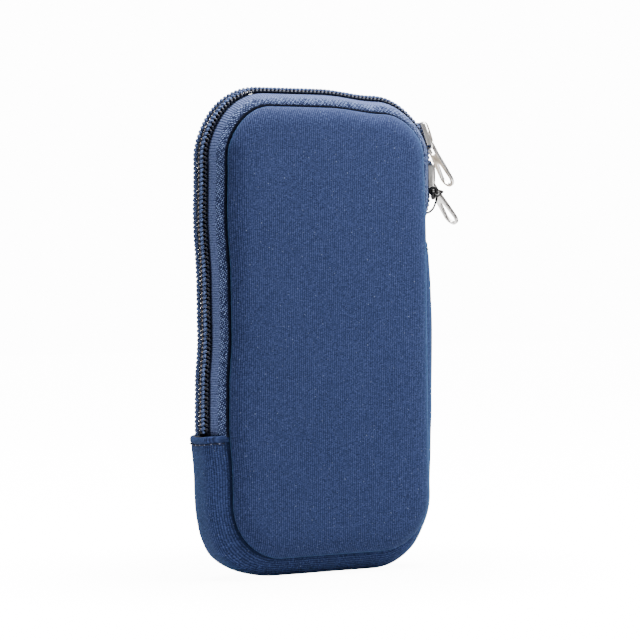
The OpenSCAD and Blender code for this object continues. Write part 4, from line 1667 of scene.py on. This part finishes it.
def slider_bmesh():
    """A slider in its own frame: X to the nose, Y across the chain, Z out of the pouch."""
    parts = [
        slab(plate_outline(), PLATE_OUT, PLATE_DECK, PLATE_BEVEL),
        slab(plate_outline(), PLATE_IN, PLATE_IN + PLATE_T, PLATE_BEVEL),
    ]
    for side in (-1, 1):
        parts.append(slab(rail_outline(side), RAIL_LOW, PLATE_OUT + RAIL_SUNK, RAIL_BEVEL, segments=2))
    wedge = bmesh.new()
    middle = (WEDGE_AT, 0, (PLATE_OUT + PLATE_IN) / 2 + PLATE_T / 2)
    bmesh.ops.create_cone(wedge, cap_ends=True, segments=WEDGE_SIDES, radius1=WEDGE_R, radius2=WEDGE_R,
                          depth=PLATE_OUT - PLATE_IN, matrix=Matrix.Translation(middle))
    parts.append(wedge)
    bridge = bridge_mesh()
    bmesh.ops.translate(bridge, verts=bridge.verts, vec=(0, 0, PLATE_DECK - BRIDGE_SUNK))
    parts.append(bridge)
    whole = bmesh.new()
    for part in parts:
        mesh = bpy.data.meshes.new("part")
        part.to_mesh(mesh)
        part.free()
        whole.from_mesh(mesh)
        bpy.data.meshes.remove(mesh)
    return whole


def slider_place(centre, angle, nose_up):
    """Puts the slider's own frame at a point of the seam, turned with the chain."""
    out = Vector((math.cos(angle), 0, math.sin(angle)))
    nose = Vector((-math.sin(angle), 0, math.cos(angle))) * (1 if nose_up else -1)
    across = out.cross(nose)
    turn = Matrix((nose, across, out)).transposed().to_4x4()
    return Matrix.Translation(centre) @ turn


# %% [markdown]
# The two sliders meet nose to nose: the lower one opens the zip downwards, the upper one over the
# top. A casting has one mesh with three finishes, and a test on each face's direction and height
# picks its finish. The two darker finishes are painted: brown reflection and shade on one, dark
# reflection on the other. Faces that meet gently are shaded as one, and sharper edges stay crisp,
# so that flat faces look flat.

# %% Sliders
UPPER_ANGLE = math.radians(20)
UPPER_SLIDER = Vector((TOP_X + TOP_R * math.cos(UPPER_ANGLE), 0, TOP_Z + TOP_R * math.sin(UPPER_ANGLE)))
# Places of the two painted finishes in a casting's list: brown reflection and shade, and dark
# reflection. Faces that no test picks keep the first, bright one.
BROWN_PAINTED, DARK_PAINTED = 1, 2
CRISP_FROM = math.radians(38)
# Heights over the deck that belong to the bridge, and that still belong to the deck
BRIDGE_FROM, DECK_TO = 0.3 * MM, 0.1 * MM


def finish_faces(bm, finish, chosen):
    """Gives a finish to the faces that a test picks."""
    for face in bm.faces:
        if chosen(face):
            face.material_index = finish


def add_casting(name, bm, body, node, place):
    bmesh.ops.transform(bm, matrix=place, verts=bm.verts)
    bmesh.ops.recalc_face_normals(bm, faces=bm.faces)
    mesh = mesh_from(bm, name)
    for material in (nickel, shade_and_reflection_nickel, dark_reflection_nickel):
        mesh.materials.append(material)
    mesh.set_sharp_from_angle(angle=CRISP_FROM)
    add_piece(name, mesh, body, [node], "nickel")
    print(name, len(mesh.polygons), "faces")


def is_under_bridge(face):
    """The underside of the bridge, and the deck that it covers: where painted shade goes."""
    height = face.calc_center_median().z - PLATE_DECK
    underside = height > BRIDGE_FROM and face.normal.z < -0.2
    deck = abs(height) < DECK_TO and face.normal.z > 0.9
    return underside or deck


def add_slider(name, node, body, centre, angle, nose_up, painted_brown):
    bm = slider_bmesh()
    # Painted shade under the upper slider's bridge, in the brown finish
    if painted_brown:
        finish_faces(bm, BROWN_PAINTED, is_under_bridge)
    add_casting(name, bm, body, node, slider_place(centre, angle, nose_up))


add_slider("lower_zip_slider", "lower_slider", "lower_runner", LOWER_SLIDER, 0, True, False)
add_slider("upper_zip_slider", "upper_slider", "upper_runner", UPPER_SLIDER, UPPER_ANGLE, False, True)

# %% [markdown]
# A pull is a stamped tab: a window at its head lets the slider's bridge through, and its round end
# has a drop-shaped eye. Holes could be cut with a boolean, but outlines are cleaner: the outer edge,
# the eye and the window are filled as one flat face, which is raised and bevelled on every edge.

# %% Outline of a pull
PULL_REACH = 15 * MM
PULL_HALF = 3.5 * MM
PULL_T = 1.3 * MM
PULL_BEVEL = 0.3 * MM
NECK_HALF = 2.35 * MM
HEAD_CORNER = 0.35 * MM
# Where the pull has widened from its neck, as shares of its reach and half width
WAIST_REACH, WAIST_HALF = 0.62, 0.86
WINDOW_HALF = 1.45 * MM
WINDOW_LEN = 4.8 * MM
WINDOW_CORNER = 0.5 * MM
PIN_R = 0.6 * MM
PIN_CORNER = 0.25 * MM
EYE_R = 2.45 * MM
EYE_NARROW_R = 1.2 * MM
EYE_LEN = 5.2 * MM
# Faces flatter to each other than the first angle are merged, edges above the second are bevelled
MERGE_ANGLE, SHARP_ANGLE = 0.01, 0.5
print("pulls: %.1f mm long" % ((PIN_R + PULL_REACH + PULL_HALF) / MM))


def pull_bmesh():
    """A pull in its own frame: X from the crossbar to the round end, Y across, Z through."""
    outer = [(-PIN_R, -NECK_HALF + HEAD_CORNER), (-PIN_R + HEAD_CORNER, -NECK_HALF)]
    outer += [(WINDOW_LEN, -NECK_HALF), (PULL_REACH * WAIST_REACH, -PULL_HALF * WAIST_HALF)]
    outer += arc_points((PULL_REACH, 0), PULL_HALF, -88, 88, 20)
    outer += [(PULL_REACH * WAIST_REACH, PULL_HALF * WAIST_HALF), (WINDOW_LEN, NECK_HALF)]
    outer += [(-PIN_R + HEAD_CORNER, NECK_HALF), (-PIN_R, NECK_HALF - HEAD_CORNER)]
    eye = arc_points((PULL_REACH, 0), EYE_R, -100, 100, 18)
    eye += arc_points((PULL_REACH - EYE_LEN, 0), EYE_NARROW_R, 100, 260, 12)
    far, near = WINDOW_LEN - WINDOW_CORNER, PIN_R + PIN_CORNER
    window = arc_points((far, WINDOW_HALF - WINDOW_CORNER), WINDOW_CORNER, 90, 0, 4)
    window += arc_points((far, -WINDOW_HALF + WINDOW_CORNER), WINDOW_CORNER, 0, -90, 4)
    window += arc_points((near, -WINDOW_HALF + PIN_CORNER), PIN_CORNER, -90, -180, 3)
    window += arc_points((near, WINDOW_HALF - PIN_CORNER), PIN_CORNER, 180, 90, 3)
    bm = bmesh.new()
    edges = []
    for outline in (outer, eye, window):
        verts = [bm.verts.new((x, y, -PULL_T / 2)) for x, y in outline]
        edges += [bm.edges.new((a, b)) for a, b in zip(verts, verts[1:] + verts[:1])]
    bmesh.ops.triangle_fill(bm, edges=edges, use_beauty=True, use_dissolve=False)
    inside = [e for e in bm.edges if not e.is_boundary]
    bmesh.ops.dissolve_limit(bm, angle_limit=MERGE_ANGLE, verts=bm.verts, edges=inside,
                             use_dissolve_boundaries=False)
    raised = bmesh.ops.extrude_face_region(bm, geom=bm.faces[:])["geom"]
    bmesh.ops.translate(bm, verts=only(bmesh.types.BMVert, raised), vec=(0, 0, PULL_T))
    bmesh.ops.recalc_face_normals(bm, faces=bm.faces)
    rim = [e for e in bm.edges
           if abs(e.verts[0].co.z - e.verts[1].co.z) < TINY and e.calc_face_angle(0) > SHARP_ANGLE]
    bmesh.ops.bevel(bm, geom=rim, offset=PULL_BEVEL, segments=3, affect="EDGES", profile=0.5,
                    material=-1, clamp_overlap=True)
    return bm


# %% Pulls
# Where a pull hangs in its slider's bridge: down the chain, and outwards, from the slider's centre
PIVOT_DOWN = 3.4 * MM
PIVOT_OUT = PLATE_DECK + 1.05 * MM
UPPER_PULL_ANGLE = math.radians(31)
LOWER_PULL_ANGLE = math.radians(36)


def pull_place(pivot, angle):
    """Hangs a pull from its pivot, at an angle out from the vertical."""
    along = Vector((math.sin(angle), 0, -math.cos(angle)))
    across = Vector((0, -1, 0))
    turn = Matrix((along, across, along.cross(across))).transposed().to_4x4()
    return Matrix.Translation(pivot) @ turn


def pivot_of(centre, angle):
    out = Vector((math.cos(angle), 0, math.sin(angle)))
    down = Vector((math.sin(angle), 0, -math.cos(angle)))
    return centre + out * PIVOT_OUT + down * PIVOT_DOWN


def add_pull(name, node, body, pivot, angle, painted_brown):
    bm = pull_bmesh()
    # Painted reflection: brown on the upper pull's inner face, dark speckles on the lower pull's front
    if painted_brown:
        finish_faces(bm, BROWN_PAINTED, lambda face: face.normal.z > 0.5)
    else:
        finish_faces(bm, DARK_PAINTED, lambda face: face.normal.y > 0.5)
    add_casting(name, bm, body, node, pull_place(pivot, angle))


add_pull("upper_zip_pull", "upper_pull", "upper_tab", pivot_of(UPPER_SLIDER, UPPER_ANGLE),
         UPPER_PULL_ANGLE, True)
add_pull("lower_zip_pull", "lower_pull", "lower_tab", pivot_of(LOWER_SLIDER, 0),
         LOWER_PULL_ANGLE, False)

# %% [markdown]
# The set is a white table in a white room, as for a cut-out product picture. Most light comes from
# a large soft box overhead, and a small one at the upper right picks out the sliders. The room is
# dimmer behind the camera and at the sides, which gives the nickel its grey edges. A cut-out has no
# horizon, so the camera sees the room as plain white, and the table glows white away from the pouch.

# %% Table
BACKDROP = 14.0
NEAR_GLOW = 0.8
FADE_START, FADE_END = 0.03, 0.16
TABLE_HALF = 3


def add_stage():
    """A white table whose lighting fades to plain white away from the pouch, as in a cut-out."""
    bm = bmesh.new()
    bmesh.ops.create_grid(bm, x_segments=1, y_segments=1, size=TABLE_HALF)
    mesh = mesh_from(bm, "table")
    nodes = Nodes("white_table")
    place = nodes.object_coordinates()
    tone = nodes.noise(place, 6, 2.0)
    away = nodes.add("ShaderNodeVectorMath", {0: place}, operation="LENGTH").outputs["Value"]
    fade = nodes.map_range(away, FADE_START, FADE_END, kind="SMOOTHSTEP")
    glow = nodes.math("MULTIPLY_ADD", fade, 1 - NEAR_GLOW, NEAR_GLOW)
    seen = nodes.add("ShaderNodeLightPath").outputs["Is Camera Ray"]
    mesh.materials.append(nodes.finish(
        Base_Color=nodes.mix(tone, (0.60, 0.60, 0.60), (0.62, 0.62, 0.62)),
        Roughness=0.9,
        Emission_Color=(1.0, 1.0, 1.0),
        Emission_Strength=nodes.math("MULTIPLY", glow, nodes.math("MULTIPLY", seen, BACKDROP)),
    ))
    table = bpy.data.objects.new("table", mesh)
    bpy.context.scene.collection.objects.link(table)


add_stage()
print("table: %d m wide" % (2 * TABLE_HALF))

# %% Room and lights
ROOM_BRIGHT = 0.8
ROOM_DIM = 0.15
SIDE_SHADE = 0.58
# A direction's share forward, where the room turns from dim to bright, and its share sideways, where
# it darkens
REAR_FROM, REAR_TO = -0.9, 0.2
SIDE_FROM, SIDE_TO = 0.1, 0.9
WHITE = (1, 1, 1, 1)


def add_room():
    """A white room whose brightness depends on the direction in which it is seen."""
    world = bpy.data.worlds.new("studio")
    bpy.context.scene.world = world
    world.use_nodes = True
    tree = world.node_tree
    tree.nodes.clear()
    aim = add_node(tree, "ShaderNodeTexCoord").outputs["Generated"]
    across, forward, _ = add_node(tree, "ShaderNodeSeparateXYZ", {0: aim}).outputs
    inputs = {0: forward, 1: REAR_FROM, 2: REAR_TO, 3: ROOM_DIM, 4: ROOM_BRIGHT}
    rear = add_node(tree, "ShaderNodeMapRange", inputs).outputs[0]
    sideways = add_node(tree, "ShaderNodeMath", {0: across}, operation="ABSOLUTE").outputs[0]
    inputs = {0: sideways, 1: SIDE_FROM, 2: SIDE_TO, 3: 1.0, 4: SIDE_SHADE}
    shade = add_node(tree, "ShaderNodeMapRange", inputs).outputs[0]
    level = add_node(tree, "ShaderNodeMath", {0: rear, 1: shade}, operation="MULTIPLY").outputs[0]
    room = add_node(tree, "ShaderNodeBackground", {0: WHITE, 1: level}).outputs[0]
    white = add_node(tree, "ShaderNodeBackground", {0: WHITE, 1: BACKDROP}).outputs[0]
    seen = add_node(tree, "ShaderNodeLightPath").outputs["Is Camera Ray"]
    both = add_node(tree, "ShaderNodeMixShader", {0: seen, 1: room, 2: white}).outputs[0]
    add_node(tree, "ShaderNodeOutputWorld", {0: both})


def add_light(name, place, size, power):
    data = bpy.data.lights.new(name, "AREA")
    data.shape = "SQUARE"
    data.size = size
    data.energy = power
    light = bpy.data.objects.new(name, data)
    light.location = place
    light.rotation_euler = (AIM - Vector(place)).to_track_quat("-Z", "Y").to_euler()
    bpy.context.scene.collection.objects.link(light)
    print(name, "light:", power, "W")


add_room()
add_light("overhead", (0.05, -0.02, 1.1), size=0.8, power=46)
add_light("upper_right", (0.15, -0.09, 0.33), size=0.22, power=2.2)

# %% [markdown]

# %% Finish
print("finished")
